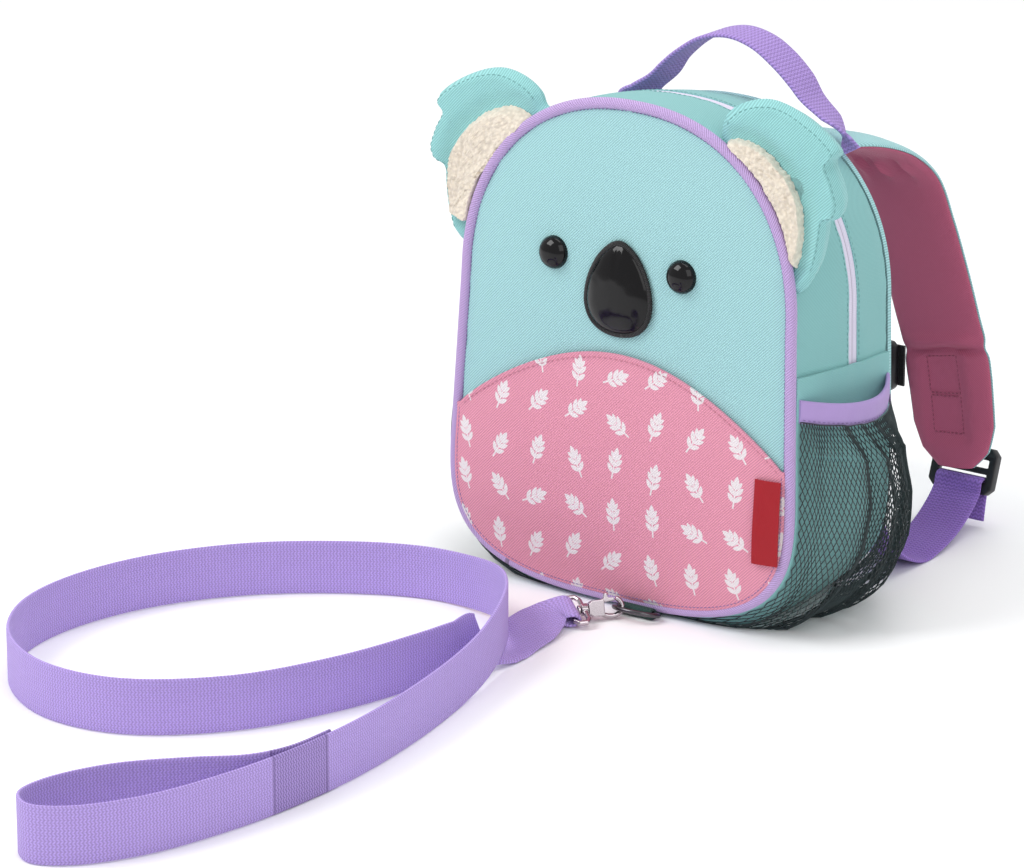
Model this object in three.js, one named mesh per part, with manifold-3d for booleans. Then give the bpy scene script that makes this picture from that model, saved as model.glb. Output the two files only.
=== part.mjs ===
// A toddler's harness backpack with a koala face: a hollow zipped bag, two padded shoulder straps,
// a carry handle, two net pockets, and a webbing tether clipped to a ring at the bottom front seam.
// Millimetres, +Z up, the bag's front towards -Y, the origin on the floor in the middle of the base.

import * as THREE from "three";
import { mergeVertices } from "three/addons/utils/BufferGeometryUtils.js";
import Module from "manifold-3d";

const wasm = await Module();
wasm.setup();

// Driving sizes of the bag, in millimetres
const BAG_DEPTH = 90;
const FRONT_LEAN = 0.05;
const SIDE_BULGE = 2.5;
const BASE_DROP = 65;
const FRONT = { topHalf: 86.5, topZ: 140, topRise: 87.5, topPower: 2.2, lowHalf: 90, lowZ: 60, lowDrop: 55.7,
  lowPower: 3 };
const BACK = { topHalf: 84, topZ: 135, topRise: 82, topPower: 2.2, lowHalf: 86, lowZ: 60, lowPower: 3 };
const FRONT_DOME = 5;
const BACK_DOME = 3;
const CLOTH = 1.6;
const SKIN = 1.2;
const BACK_WALL = 2.4;
const PIPING_RADIUS = 2.5;
const GUSSET_PROUD = 1;
const GAP = 0.3;
const SEAM = { front: 120, back: 112 };
const ZIP = { width: 9, share: 0.575, forward: 0.1 };
const SLIDER = { length: 11, width: 5, thickness: 3 };

// The face, the belly panel and the label
const EYE = { radius: 7.5, height: 5.2, reach: 34, shift: -1.7, z: 157.5 };
const NOSE = { width: 36, height: 43, centre: 0.3, z: 147, rim: 2.6, rimHeight: 1.8, puff: 4 };
const BELLY = { side: 79, apex: 118, apexShift: 2.5, lift: 0.8 };
const LABEL = { width: 12, height: 38, x: 75.3, z: 37, thickness: 1 };

// The ears: outline rows run from the top seam to the lower seam, as shares of reach and height
const EAR = { reach: 36, height: 82, seat: 0.74, top: 0.87, setback: 4, front: 0.6, puff: 7, hem: 2.2 };
const EAR_OUTLINE = [
  { out: -0.77, up: 0.42 }, { out: -0.68, up: 0.49 }, { out: -0.46, up: 0.55 }, { out: -0.15, up: 0.58 },
  { out: 0.14, up: 0.56 }, { out: 0.46, up: 0.5 }, { out: 0.74, up: 0.42 }, { out: 0.845, up: 0.366 },
  { out: 0.752, up: 0.312 }, { out: 0.87, up: 0.2 }, { out: 0.945, up: 0.09 }, { out: 0.89, up: 0.02 },
  { out: 0.73, up: -0.015 }, { out: 0.7, up: -0.11 }, { out: 0.65, up: -0.235 }, { out: 0.56, up: -0.33 },
  { out: 0.46, up: -0.39 },
];
const EAR_SIDES = [
  { name: "left", side: -1, lift: -3, spread: 2, fleece: 1 },
  { name: "right", side: 1, lift: 3, spread: -2, fleece: 0.66 },
];
const FLEECE = { puff: 4 };
const FLEECE_OUTLINE = [
  { out: -0.6, up: 0.35 }, { out: -0.4, up: 0.385 }, { out: -0.14, up: 0.375 }, { out: 0.19, up: 0.3 },
  { out: 0.44, up: 0.19 }, { out: 0.56, up: 0.08 }, { out: 0.575, up: -0.03 }, { out: 0.54, up: -0.12 },
  { out: 0.47, up: -0.2 }, { out: 0.38, up: -0.26 },
];

// The net pockets and their bindings
const POCKET = { reach: 26, clear: 1.7, binding: 10.5, bindingWall: 2, wall: 1, front: 111, back: 103, sag: 4,
  fold: 1.2, columns: 8, gapShare: 0.62, mouth: 0.4 };
const POCKET_ROWS = [
  { up: 0.06, out: 0.42 }, { up: 0.12, out: 0.55 }, { up: 0.22, out: 0.7 }, { up: 0.43, out: 0.88 },
  { up: 0.66, out: 0.98 }, { up: 0.86, out: 0.86 }, { up: 1, out: 0.5 },
];

// The carry handle, rows from its left foot to the apex; the right half mirrors them
const HANDLE = { halfSpan: 60.5, shift: 0.6, foot: 199, rise: 46, width: 22, thickness: 2 };
const HANDLE_ROWS = [
  { out: 1.1, up: 0, turn: 88 }, { out: 1, up: 0.12, turn: 72 }, { out: 0.83, up: 0.3, turn: 20 },
  { out: 0.66, up: 0.46, turn: 8 }, { out: 0.55, up: 0.63, turn: 2 }, { out: 0.4, up: 0.8, turn: 0 },
  { out: 0.22, up: 0.94, turn: 0 },
];

// The shoulder straps, rows from the back seam down to the tip, as shares of the strap's drop and reach
const STRAP = { width: 46, thickness: 5, lining: 2, top: 201, drop: 173, inner: 38, flare: 29, reach: 90 };
const STRAP_ROWS = [
  { out: -0.15, back: 0, down: 0.024, wide: 0.6 }, { out: -0.14, back: 0.07, down: 0.022, wide: 0.72 },
  { out: 0, back: 0.3, down: 0.035, wide: 0.94 }, { out: 0.11, back: 0.58, down: 0.09, wide: 1 },
  { out: 0.21, back: 0.75, down: 0.168, wide: 1 }, { out: 0.33, back: 0.846, down: 0.295, wide: 1 },
  { out: 0.48, back: 0.913, down: 0.434, wide: 1 }, { out: 0.64, back: 0.956, down: 0.566, wide: 1 },
  { out: 0.76, back: 0.985, down: 0.66, wide: 1 }, { out: 0.85, back: 0.99, down: 0.746, wide: 1 },
  { out: 0.94, back: 1, down: 0.873, wide: 0.96 }, { out: 0.98, back: 1, down: 0.945, wide: 0.78 },
  { out: 1, back: 0.998, down: 0.99, wide: 0.42 },
];

// The lower webbings, with the lock they are threaded in, rows from the bag's lower corner
const WEB = { width: 25, thickness: 1.6, x: 71, foot: 30, fold: 86, clear: 0.9, tail: 12 };
const LOCK = { width: 34, height: 22, thickness: 5, slot: 3.8, bar: 3, tilt: 20, below: 3, behind: 9 };

// The chest strap and its fastened side-release buckle
const CHEST = { z: 73, width: 20, thickness: 1.5, sunk: 3, clear: 3 };
const BUCKLE = { socket: 26, plug: 13, height: 24, thickness: 7, arm: 4.6, armReach: 14, slot: 2.2 };

// The ring, its tab and the trigger hook
const RING = { halfWidth: 11, depth: 9, radius: 1.1, x: 17, y: -51, z: 2.9, rise: 2.7 };
const TAB = { width: 16, thickness: 1.2, rise: 0.75, tail: 42.4 };
const HOOK = { yaw: 51.7, roll: 70, z: 5.5, reach: 14.7, wire: 1.2 };
const EYELET = { back: 6.5, halfWidth: 10.7, radius: 1.2, boss: 2.8, bossBack: 1.5, bossFront: 1.5, bore: 1.5 };
const BODY = { start: 1.9, end: 9, half: 3.8, thickness: 4.4, slot: 2.6, stem: 1.15, head: 2.1 };
const GATE = { x: 7.4, y: 2.4, barrel: 1.2, tip: 14.1, thickness: 1.5, width: 2, thumb: 2.2 };

// The tether: a length of webbing. Each row is a point of its middle line. low is the height of its lower
// edge, roll is 90 where it stands on edge and 0 where it lies flat, yaw is the way its width points there.
const TETHER = { thickness: 1.6, fold: 17, hemRoll: 12 };
const TETHER_ROUTE = [
  { x: -7.8, y: -89, low: 2.2, roll: 12, yaw: 160, wide: 22 },
  { x: -6.5, y: -100, low: 0.8, roll: 11, yaw: 168, wide: 25 },
  { x: -5.5, y: -113, low: 0.7, roll: 4, yaw: 178, wide: 25 },
  { x: -4, y: -127, low: 0.6, roll: 6, yaw: 181, wide: 25 },
  { x: -3.5, y: -142, low: 0.3, roll: 62, yaw: 185, wide: 25 },
  { x: -5, y: -158, low: 0.3, roll: 90, yaw: 190, wide: 25 },
  { x: -8.5, y: -178, low: 0.3, roll: 90, yaw: 195, wide: 25 },
  { x: -19, y: -219, low: 0.3, roll: 90, yaw: 195, wide: 25 },
  { x: -41, y: -264, low: 0.3, roll: 90, yaw: 195, wide: 25 },
  { x: -77, y: -294, low: 0.3, roll: 90, yaw: 195, wide: 25 },
  { x: -115, y: -298, low: 0.3, roll: 90, yaw: 195, wide: 25 },
  { x: -150, y: -280, low: 0.3, roll: 90, yaw: 195, wide: 25 },
  { x: -171, y: -249, low: 0.3, roll: 90, yaw: 195, wide: 25 },
  { x: -176, y: -214, low: 0.3, roll: 90, yaw: 195, wide: 25 },
  { x: -166, y: -171, low: 0.3, roll: 90, yaw: 195, wide: 25 },
  { x: -140, y: -131, low: 0.3, roll: 90, yaw: 195, wide: 25 },
  { x: -102, y: -101, low: 0.3, roll: 90, yaw: 195, wide: 25 },
  { x: -72, y: -88, low: 0.3, roll: 90, yaw: 195, wide: 25 },
  { x: -46, y: -88, low: 1, roll: 90, yaw: 195, wide: 25 },
  { x: -24, y: -99, low: 4, roll: 90, yaw: 195, wide: 25 },
  { x: -7, y: -117, low: 6, roll: 90, yaw: 195, wide: 25 },
  { x: 5, y: -138, low: 5.4, roll: 90, yaw: 195, wide: 25 },
  { x: 12.5, y: -160, low: 2, roll: 90, yaw: 195, wide: 25 },
  { x: 19, y: -186, low: 0.3, roll: 90, yaw: 195, wide: 25 },
  { x: 27, y: -226, low: 0.3, roll: 90, yaw: 195, wide: 25 },
  { x: 31.5, y: -268, low: 0.3, roll: 90, yaw: 195, wide: 25 },
  { x: 31, y: -308, low: 0.3, roll: 90, yaw: 195, wide: 25 },
  { x: 25.5, y: -348, low: 0.3, roll: 90, yaw: 195, wide: 25 },
  { x: 14, y: -386, low: 0.3, roll: 90, yaw: 195, wide: 25 },
  { x: -2, y: -410, low: 0.3, roll: 90, yaw: 195, wide: 25 },
  { x: -17, y: -418, low: 0.3, roll: 90, yaw: 195, wide: 25 },
  { x: -28, y: -411, low: 0.3, roll: 90, yaw: 195, wide: 25 },
  { x: -29, y: -395, low: 0.3, roll: 90, yaw: 195, wide: 25 },
  { x: -18, y: -368, low: 0.3, roll: 90, yaw: 195, wide: 25 },
  { x: 3, y: -344, low: 0.3, roll: 90, yaw: 195, wide: 25 },
  { x: 20, y: -328, low: 0.3, roll: 90, yaw: 195, wide: 25 },
  { x: 27.6, y: -311, low: 0.3, roll: 90, yaw: 195, wide: 25 },
  { x: 29.5, y: -288, low: 0.3, roll: 90, yaw: 195, wide: 25 },
];

// Finishes
const FINISH = {
  mint: { color: "#a6dfdc", roughness: 0.85, metalness: 0 },
  gusset: { color: "#86c3c0", roughness: 0.85, metalness: 0 },
  pink: { color: "#eb9fbc", roughness: 0.85, metalness: 0 },
  lavender: { color: "#b79bdc", roughness: 0.7, metalness: 0 },
  fleece: { color: "#ece2d2", roughness: 0.95, metalness: 0 },
  patent: { color: "#0d0b0f", roughness: 0.12, metalness: 0 },
  thread: { color: "#17141a", roughness: 0.7, metalness: 0 },
  red: { color: "#c91a32", roughness: 0.7, metalness: 0 },
  zip: { color: "#d9d4e6", roughness: 0.6, metalness: 0 },
  net: { color: "#3f4b4d", roughness: 0.8, metalness: 0 },
  rose: { color: "#a04f6c", roughness: 0.85, metalness: 0 },
  violet: { color: "#8164b8", roughness: 0.7, metalness: 0 },
  black: { color: "#17161a", roughness: 0.35, metalness: 0 },
  chrome: { color: "#cfcdd0", roughness: 0.12, metalness: 1 },
  steel: { color: "#5b5a5c", roughness: 0.3, metalness: 1 },
  webGreen: { color: "#24433f", roughness: 0.8, metalness: 0 },
};

const RAD = Math.PI / 180;
const X_AXIS = new THREE.Vector3(1, 0, 0);
const Y_AXIS = new THREE.Vector3(0, 1, 0);
const Z_AXIS = new THREE.Vector3(0, 0, 1);
const model = new THREE.Group();

function mix(a, b, t) {
  return a + (b - a) * t;
}

function vec(x, y, z) {
  return new THREE.Vector3(x, y, z);
}

// Adds a named mesh with its own material to a parent
function add(name, geometry, finish, parent = model) {
  const mesh = new THREE.Mesh(geometry, new THREE.MeshStandardMaterial(FINISH[finish]));
  mesh.name = name;
  parent.add(mesh);
  return mesh;
}

// A closed body from points and triangles, turned so that its faces point out
function closedBody(points, faces) {
  let volume = 0;
  for (const [a, b, c] of faces) {
    volume += points[a].dot(points[b].clone().cross(points[c]));
  }
  const turned = volume < 0 ? faces.map(([a, b, c]) => [a, c, b]) : faces;
  const geometry = new THREE.BufferGeometry().setFromPoints(points);
  geometry.setIndex(turned.flat());
  return geometry;
}

// A body lofted through rings of equal count; an open run is capped with flat fans
function loft(rings, closed = false) {
  const n = rings[0].length;
  const faces = [];
  const spans = closed ? rings.length : rings.length - 1;
  for (let i = 0; i < spans; i++) {
    const j = (i + 1) % rings.length;
    for (let k = 0; k < n; k++) {
      const m = (k + 1) % n;
      faces.push([i * n + k, i * n + m, j * n + m]);
      faces.push([i * n + k, j * n + m, j * n + k]);
    }
  }
  if (!closed) {
    const end = (rings.length - 1) * n;
    for (let k = 1; k < n - 1; k++) {
      faces.push([0, k + 1, k]);
      faces.push([end, end + k, end + k + 1]);
    }
  }
  return closedBody(rings.flat(), faces);
}

// A curved wall between two grids of points, outer[i][j] and inner[i][j]. hole, where given, says for a cell
// whether a diamond gap is cut through it, and share how large that gap is.
function wall(outer, inner, hole = () => false, share = 0) {
  const rows = outer.length;
  const columns = outer[0].length;
  const points = [...outer.flat(), ...inner.flat()];
  const half = rows * columns;
  const at = (i, j, side) => side * half + i * columns + j;
  const faces = [];
  const face = (a, b, c, side) => faces.push(side ? [a, c, b] : [a, b, c]);
  for (let i = 0; i < rows - 1; i++) {
    for (let j = 0; j < columns - 1; j++) {
      const rims = [];
      for (const side of [0, 1]) {
        const corner = [at(i, j, side), at(i + 1, j, side), at(i + 1, j + 1, side), at(i, j + 1, side)];
        if (!hole(i, j)) {
          face(corner[0], corner[1], corner[2], side);
          face(corner[0], corner[2], corner[3], side);
          continue;
        }
        const centre = vec(0, 0, 0);
        corner.forEach((c) => centre.addScaledVector(points[c], 0.25));
        const rim = corner.map((c, k) => {
          const middle = points[c].clone().lerp(points[corner[(k + 1) % 4]], 0.5);
          points.push(centre.clone().lerp(middle, share));
          return points.length - 1;
        });
        rims.push(rim);
        for (let k = 0; k < 4; k++) {
          const next = (k + 1) % 4;
          face(corner[k], corner[next], rim[k], side);
          face(rim[k], corner[next], rim[next], side);
        }
      }
      if (rims.length) {
        for (let k = 0; k < 4; k++) {
          const next = (k + 1) % 4;
          faces.push([rims[0][k], rims[0][next], rims[1][next]]);
          faces.push([rims[0][k], rims[1][next], rims[1][k]]);
        }
      }
    }
  }
  const border = [];
  for (let i = 0; i < rows - 1; i++) border.push([i, 0]);
  for (let j = 0; j < columns - 1; j++) border.push([rows - 1, j]);
  for (let i = rows - 1; i > 0; i--) border.push([i, columns - 1]);
  for (let j = columns - 1; j > 0; j--) border.push([0, j]);
  border.forEach(([i, j], k) => {
    const [m, n] = border[(k + 1) % border.length];
    faces.push([at(m, n, 0), at(i, j, 0), at(i, j, 1)]);
    faces.push([at(m, n, 0), at(i, j, 1), at(m, n, 1)]);
  });
  return closedBody(points, faces);
}

// A pad with a rim: rings shrink from an outline to a middle point on each face. place turns x, z and a
// depth towards the viewer into a point, and each face's rows give the ring's share and its depth.
function pad(outline, centre, place, front, back) {
  const n = outline.length;
  const points = [];
  const faces = [];
  const starts = [];
  for (const rows of [front, back]) {
    const begin = points.length;
    for (const row of rows) {
      for (const [x, z] of outline) {
        points.push(place(mix(centre[0], x, row.share), mix(centre[1], z, row.share), row.depth));
      }
    }
    const last = rows[rows.length - 1];
    points.push(place(centre[0], centre[1], last.middle));
    starts.push(begin);
    const turn = (a, b, c) => faces.push(rows === front ? [a, b, c] : [a, c, b]);
    for (let i = 0; i < rows.length; i++) {
      for (let k = 0; k < n; k++) {
        const m = (k + 1) % n;
        const a = begin + i * n + k;
        const b = begin + i * n + m;
        if (i === rows.length - 1) {
          turn(a, b, points.length - 1);
        } else {
          turn(a, b, b + n);
          turn(a, b + n, a + n);
        }
      }
    }
  }
  for (let k = 0; k < n; k++) {
    const m = (k + 1) % n;
    faces.push([starts[0] + m, starts[0] + k, starts[1] + k]);
    faces.push([starts[0] + m, starts[1] + k, starts[1] + m]);
  }
  return closedBody(points, faces);
}

// A round bar swept along points; up is any direction that the path never runs along
function roundBar(path, radius, sides, closed, up = Z_AXIS) {
  const rings = path.map((point, i) => {
    const before = path[closed ? (i + path.length - 1) % path.length : Math.max(0, i - 1)];
    const after = path[closed ? (i + 1) % path.length : Math.min(path.length - 1, i + 1)];
    const tangent = after.clone().sub(before).normalize();
    const across = tangent.clone().cross(up).normalize();
    const over = across.clone().cross(tangent);
    return Array.from({ length: sides }, (_, k) => {
      const angle = (k + 0.5) / sides * 2 * Math.PI;
      return point.clone().addScaledVector(across, radius * Math.cos(angle))
        .addScaledVector(over, radius * Math.sin(angle));
    });
  });
  return loft(rings, closed);
}

// A flat band swept along points, with the way its width points at each of them
function band(path, across, widths, section) {
  const rings = path.map((point, i) => {
    const before = path[Math.max(0, i - 1)];
    const after = path[Math.min(path.length - 1, i + 1)];
    const tangent = after.clone().sub(before).normalize();
    const wide = across[i].clone().addScaledVector(tangent, -across[i].dot(tangent)).normalize();
    const over = wide.clone().cross(tangent);
    return section.map(([w, t]) => point.clone().addScaledVector(wide, w * widths[i]).addScaledVector(over, t));
  });
  return loft(rings);
}

function flatSection(thickness) {
  const half = thickness / 2;
  return [[-0.5, -half], [0.5, -half], [0.5, half], [-0.5, half]];
}

// A smooth run through chosen points: steps samples in each span
function smooth(points, steps) {
  const curve = new THREE.CatmullRomCurve3(points, false, "centripetal");
  const count = (points.length - 1) * steps;
  return Array.from({ length: count + 1 }, (_, i) => curve.getPoint(i / count));
}

// A column of a table sampled as smooth() samples its points
function column(values, steps) {
  const count = (values.length - 1) * steps;
  return Array.from({ length: count + 1 }, (_, i) => {
    const at = Math.min(values.length - 2, Math.floor(i / steps));
    return mix(values[at], values[at + 1], i / steps - at);
  });
}

// A flat shape from its corners
function outlineShape(points) {
  const shape = new THREE.Shape();
  shape.moveTo(points[0][0], points[0][1]);
  points.slice(1).forEach(([x, y]) => shape.lineTo(x, y));
  shape.closePath();
  return shape;
}

function polygonHole(points) {
  return new THREE.Path(points.map(([x, y]) => new THREE.Vector2(x, y)));
}

function slotCorners(x, y, halfX, halfY) {
  return [[x - halfX, y - halfY], [x - halfX, y + halfY], [x + halfX, y + halfY], [x + halfX, y - halfY]];
}

// A geometry as a solid for joins and cuts, and back
function toSolid(geometry) {
  const bare = geometry.index ? geometry.clone() : geometry;
  bare.deleteAttribute("normal");
  bare.deleteAttribute("uv");
  const merged = mergeVertices(bare, 1e-4);
  return new wasm.Manifold(new wasm.Mesh({
    numProp: 3,
    vertProperties: new Float32Array(merged.attributes.position.array),
    triVerts: new Uint32Array(merged.index.array),
  }));
}

function fromSolid(solid) {
  const mesh = solid.getMesh();
  const geometry = new THREE.BufferGeometry();
  geometry.setAttribute("position", new THREE.BufferAttribute(new Float32Array(mesh.vertProperties), 3));
  geometry.setIndex(Array.from(mesh.triVerts));
  return geometry;
}

function moved(geometry, x, y, z) {
  return geometry.clone().translate(x, y, z);
}

// The bag's form. An outline runs from 0 at the bottom middle to 1 at the top middle on the +X side, and
// to -1 on the other; LOW and HIGH are where its straight flank begins and ends.
const LOW = 0.35;
const HIGH = 0.6;

function outline(spec, s) {
  const folded = s > 1 ? s - 2 : s < -1 ? s + 2 : s;
  const side = folded < 0 ? -1 : 1;
  const a = Math.abs(folded);
  if (a <= LOW) {
    const f = a / LOW * Math.PI / 2;
    return [side * spec.lowHalf * Math.sin(f) ** (2 / spec.lowPower),
      spec.lowZ - spec.lowDrop * Math.max(0, Math.cos(f)) ** (2 / spec.lowPower)];
  }
  if (a <= HIGH) {
    const t = (a - LOW) / (HIGH - LOW);
    return [side * mix(spec.lowHalf, spec.topHalf, t), mix(spec.lowZ, spec.topZ, t)];
  }
  const f = (a - HIGH) / (1 - HIGH) * Math.PI / 2;
  return [side * spec.topHalf * Math.max(0, Math.cos(f)) ** (2 / spec.topPower),
    spec.topZ + spec.topRise * Math.sin(f) ** (2 / spec.topPower)];
}

// The outline moved inwards by inset
function insetOutline(spec, s, inset) {
  const step = 0.004;
  const [x0, z0] = outline(spec, s - step);
  const [x1, z1] = outline(spec, s + step);
  const [x, z] = outline(spec, s);
  const length = Math.hypot(x1 - x0, z1 - z0);
  return [x - inset * (z1 - z0) / length, z + inset * (x1 - x0) / length];
}

// Where the +X flank of an outline reaches a height
function shareAtHeight(spec, z) {
  if (z < spec.lowZ) {
    const cosine = Math.min(1, (spec.lowZ - z) / spec.lowDrop) ** (spec.lowPower / 2);
    return LOW * Math.acos(cosine) / (Math.PI / 2);
  }
  if (z <= spec.topZ) {
    return mix(LOW, HIGH, (z - spec.lowZ) / (spec.topZ - spec.lowZ));
  }
  const sine = Math.min(1, (z - spec.topZ) / spec.topRise) ** (spec.topPower / 2);
  return mix(HIGH, 1, Math.asin(sine) / (Math.PI / 2));
}

function frontY(z) {
  return -BAG_DEPTH / 2 + FRONT_LEAN * z;
}

// The gusset's outline at v, from 0 at the front seam to 1 at the back one. The base drops to the floor
// just behind the front seam, and is pressed flat there.
function gussetSpec(v) {
  const proud = GUSSET_PROUD;
  const settle = Math.min(1, v / 0.1);
  return {
    topHalf: mix(FRONT.topHalf + proud, BACK.topHalf, v),
    topZ: mix(FRONT.topZ, BACK.topZ, v),
    topRise: mix(FRONT.topRise + proud, BACK.topRise, v),
    topPower: mix(FRONT.topPower, BACK.topPower, v),
    lowHalf: mix(FRONT.lowHalf + proud, BACK.lowHalf, v),
    lowZ: mix(FRONT.lowZ, BACK.lowZ, v),
    lowDrop: mix(FRONT.lowDrop + proud, BASE_DROP, settle),
    lowPower: mix(FRONT.lowPower, BACK.lowPower, v),
  };
}

function gussetStart(z) {
  return frontY(z) + PIPING_RADIUS + GAP;
}

const GUSSET_END = BAG_DEPTH / 2 - 1.5;

function gussetPoint(s, v, inset) {
  const [x, z] = insetOutline(gussetSpec(v), s, inset - SIDE_BULGE * Math.sin(Math.PI * v));
  const pressed = Math.max(z, inset);
  return vec(x, mix(gussetStart(pressed), GUSSET_END, v), pressed);
}

function seamZ(v) {
  return mix(SEAM.front, SEAM.back, v);
}

function seamShare(v, offset) {
  return shareAtHeight(gussetSpec(v), seamZ(v) + offset);
}

// The upper gusset runs from the right seam over the top to the left one as a goes from 0 to 1
function archShare(a, v) {
  const seam = seamShare(v, GAP);
  return a <= 0.5 ? mix(seam, 1, 2 * a) : -mix(seam, 1, 2 - 2 * a);
}

function zipCentre(a) {
  const climb = a <= 0.5 ? 2 * a : 2 - 2 * a;
  return ZIP.share - ZIP.forward * Math.sin(Math.PI / 2 * climb) ** 4;
}

const ZIP_HALF = ZIP.width / 2 / BAG_DEPTH;
const EDGE = GAP / BAG_DEPTH;
const ARCH_STEPS = 22;

function arch(from, to, columns, proud, thickness) {
  const sample = (inset) => Array.from({ length: ARCH_STEPS + 1 }, (_, i) => {
    const a = i / ARCH_STEPS;
    return Array.from({ length: columns + 1 }, (__, j) => {
      const v = mix(from(a), to(a), j / columns);
      return gussetPoint(archShare(a, v), v, inset);
    });
  });
  return wall(sample(-proud), sample(thickness - proud));
}

add("gusset_front", arch(() => 0, (a) => zipCentre(a) - ZIP_HALF - EDGE, 3, 0, CLOTH), "gusset");
add("zip_tape", arch((a) => zipCentre(a) - ZIP_HALF, (a) => zipCentre(a) + ZIP_HALF, 1, -0.4, SKIN), "zip");
add("gusset_back", arch((a) => zipCentre(a) + ZIP_HALF + EDGE, () => 1, 3, 0, CLOTH), "gusset");

// The lower band: both flanks below the seam and the base, one strip. No row of its points is at x 0.
const BAND_TURNS = [90, 70, 55, 40, 24, 8];
const BAND_COLUMNS = [0, 0.1, 0.35, 0.6, 0.85, 1];

function bandShares(v) {
  const seam = seamShare(v, -GAP);
  const flank = [seam, mix(seam, LOW, 0.4), mix(seam, LOW, 0.7)];
  const right = [...flank, ...BAND_TURNS.map((turn) => LOW * turn / 90)];
  return [...right, ...right.map((s) => -s).reverse()];
}

function lowerBand() {
  const sample = (inset) => bandShares(0).map((_, i) =>
    BAND_COLUMNS.map((v) => gussetPoint(bandShares(v)[i], v, inset)));
  return wall(sample(0), sample(CLOTH));
}

add("lower_band", lowerBand(), "gusset");

// The zip's slider, plain, at the lower end of the zip on the hidden side
function zipSlider() {
  const v = zipCentre(1);
  const s = -shareAtHeight(gussetSpec(v), seamZ(v) + SLIDER.length * 1.2);
  const seat = gussetPoint(s, v, 0);
  const box = new THREE.BoxGeometry(SLIDER.thickness, SLIDER.width, SLIDER.length);
  return moved(box, seat.x - SLIDER.thickness / 2 - GAP, seat.y, seat.z);
}

add("zip_slider", zipSlider(), "zip");

// The front and back panels
const OUTLINE_STEPS = 40;

function ringShares(steps) {
  return Array.from({ length: steps }, (_, i) => -1 + 2 * (i + 0.5) / steps);
}

// How far a point of the front lies towards its seam, from 0 in the middle to 1 on it
function frontShare(x, z) {
  if (z > FRONT.topZ) {
    return Math.min(1, (Math.abs(x) / FRONT.topHalf) ** 2.2 + ((z - FRONT.topZ) / FRONT.topRise) ** 2.2);
  }
  if (z < FRONT.lowZ) {
    return Math.min(1, (Math.abs(x) / FRONT.lowHalf) ** 3 + ((FRONT.lowZ - z) / FRONT.lowDrop) ** 3);
  }
  const t = (z - FRONT.lowZ) / (FRONT.topZ - FRONT.lowZ);
  return Math.min(1, (Math.abs(x) / mix(FRONT.lowHalf, FRONT.topHalf, t)) ** mix(3, 2.2, t));
}

function frontSurface(x, z) {
  return frontY(z) - FRONT_DOME * (1 - frontShare(x, z) ** 1.5);
}

const PANEL_ROWS = [1, 0.9, 0.72, 0.45];

function panel(spec, inset, centre, place, thickness) {
  const edge = ringShares(OUTLINE_STEPS).map((s) => insetOutline(spec, s, inset));
  const rows = (depth) => PANEL_ROWS.map((share) => ({ share, depth, middle: depth }));
  return pad(edge, centre, place, rows(0), rows(-thickness));
}

const PANEL_INSET = PIPING_RADIUS + GAP;
const FRONT_CENTRE = [0, 118];

add("front_panel", panel(FRONT, PANEL_INSET, FRONT_CENTRE,
  (x, z, depth) => vec(x, frontSurface(x, z) - depth, z), CLOTH), "mint");

function backSurface(x, z) {
  const across = Math.abs(x) / BACK.lowHalf;
  const along = Math.abs(z - 110) / 110;
  return GUSSET_END + GAP + BACK_WALL + BACK_DOME * Math.max(0, 1 - across ** 2.5 - along ** 2.5);
}

add("back_panel", panel({ ...BACK, lowDrop: BASE_DROP - 6 }, 1, [0, 110],
  (x, z, depth) => vec(x, backSurface(x, z) + depth, z), BACK_WALL), "mint");

// The piping round the front seam
function piping() {
  const path = ringShares(OUTLINE_STEPS).map((s) => {
    const [x, z] = outline(FRONT, s);
    return vec(x, frontY(z), z);
  });
  return roundBar(path, PIPING_RADIUS, 6, true, Y_AXIS);
}

add("front_piping", piping(), "lavender");

// The belly panel lies on the front panel, below an arc from flank to flank
function bellyPanel() {
  const half = insetOutline(FRONT, shareAtHeight(FRONT, BELLY.side), PANEL_INSET)[0];
  const side = shareAtHeight(FRONT, BELLY.side);
  const steps = 18;
  const lower = Array.from({ length: steps + 1 }, (_, i) =>
    insetOutline(FRONT, mix(-side, side, (i + 0.001) / steps), PANEL_INSET));
  const upper = Array.from({ length: 13 }, (_, i) => {
    const t = (i + 1) / 14;
    const x = mix(half, -half, t);
    const rise = (BELLY.apex - BELLY.side) * Math.sin(Math.PI * t) ** 0.85;
    return [x + BELLY.apexShift * Math.sin(Math.PI * t), BELLY.side + rise];
  });
  const rows = (depth) => [1, 0.88, 0.6, 0.3].map((share) => ({ share, depth, middle: depth }));
  return pad([...lower, ...upper], [0, 62], (x, z, depth) => vec(x, frontSurface(x, z) - depth, z),
    rows(BELLY.lift + SKIN), rows(BELLY.lift));
}

add("belly_panel", bellyPanel(), "pink");

// The bare tab of the label, held in the side seam
function labelTab() {
  const z = [0, 0.5, 1].map((t) => LABEL.z + LABEL.height * t);
  const x = [0, 0.5, 1].map((t) => LABEL.x + LABEL.width * t);
  const sample = (depth) => z.map((up) => x.map((over) => vec(over, frontSurface(over, up) - depth, up)));
  const lift = BELLY.lift + SKIN + GAP;
  return wall(sample(lift + LABEL.thickness), sample(lift));
}

add("label_tab", labelTab(), "red");

// The eyes: domed buttons
function eye() {
  const { radius, height } = EYE;
  const profile = [[0, 0], [1, 0], [0.98, 0.25], [0.83, 0.62], [0.5, 0.9], [0, 1]];
  return new THREE.LatheGeometry(profile.map(([r, h]) => new THREE.Vector2(r * radius, h * height)), 14);
}

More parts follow.
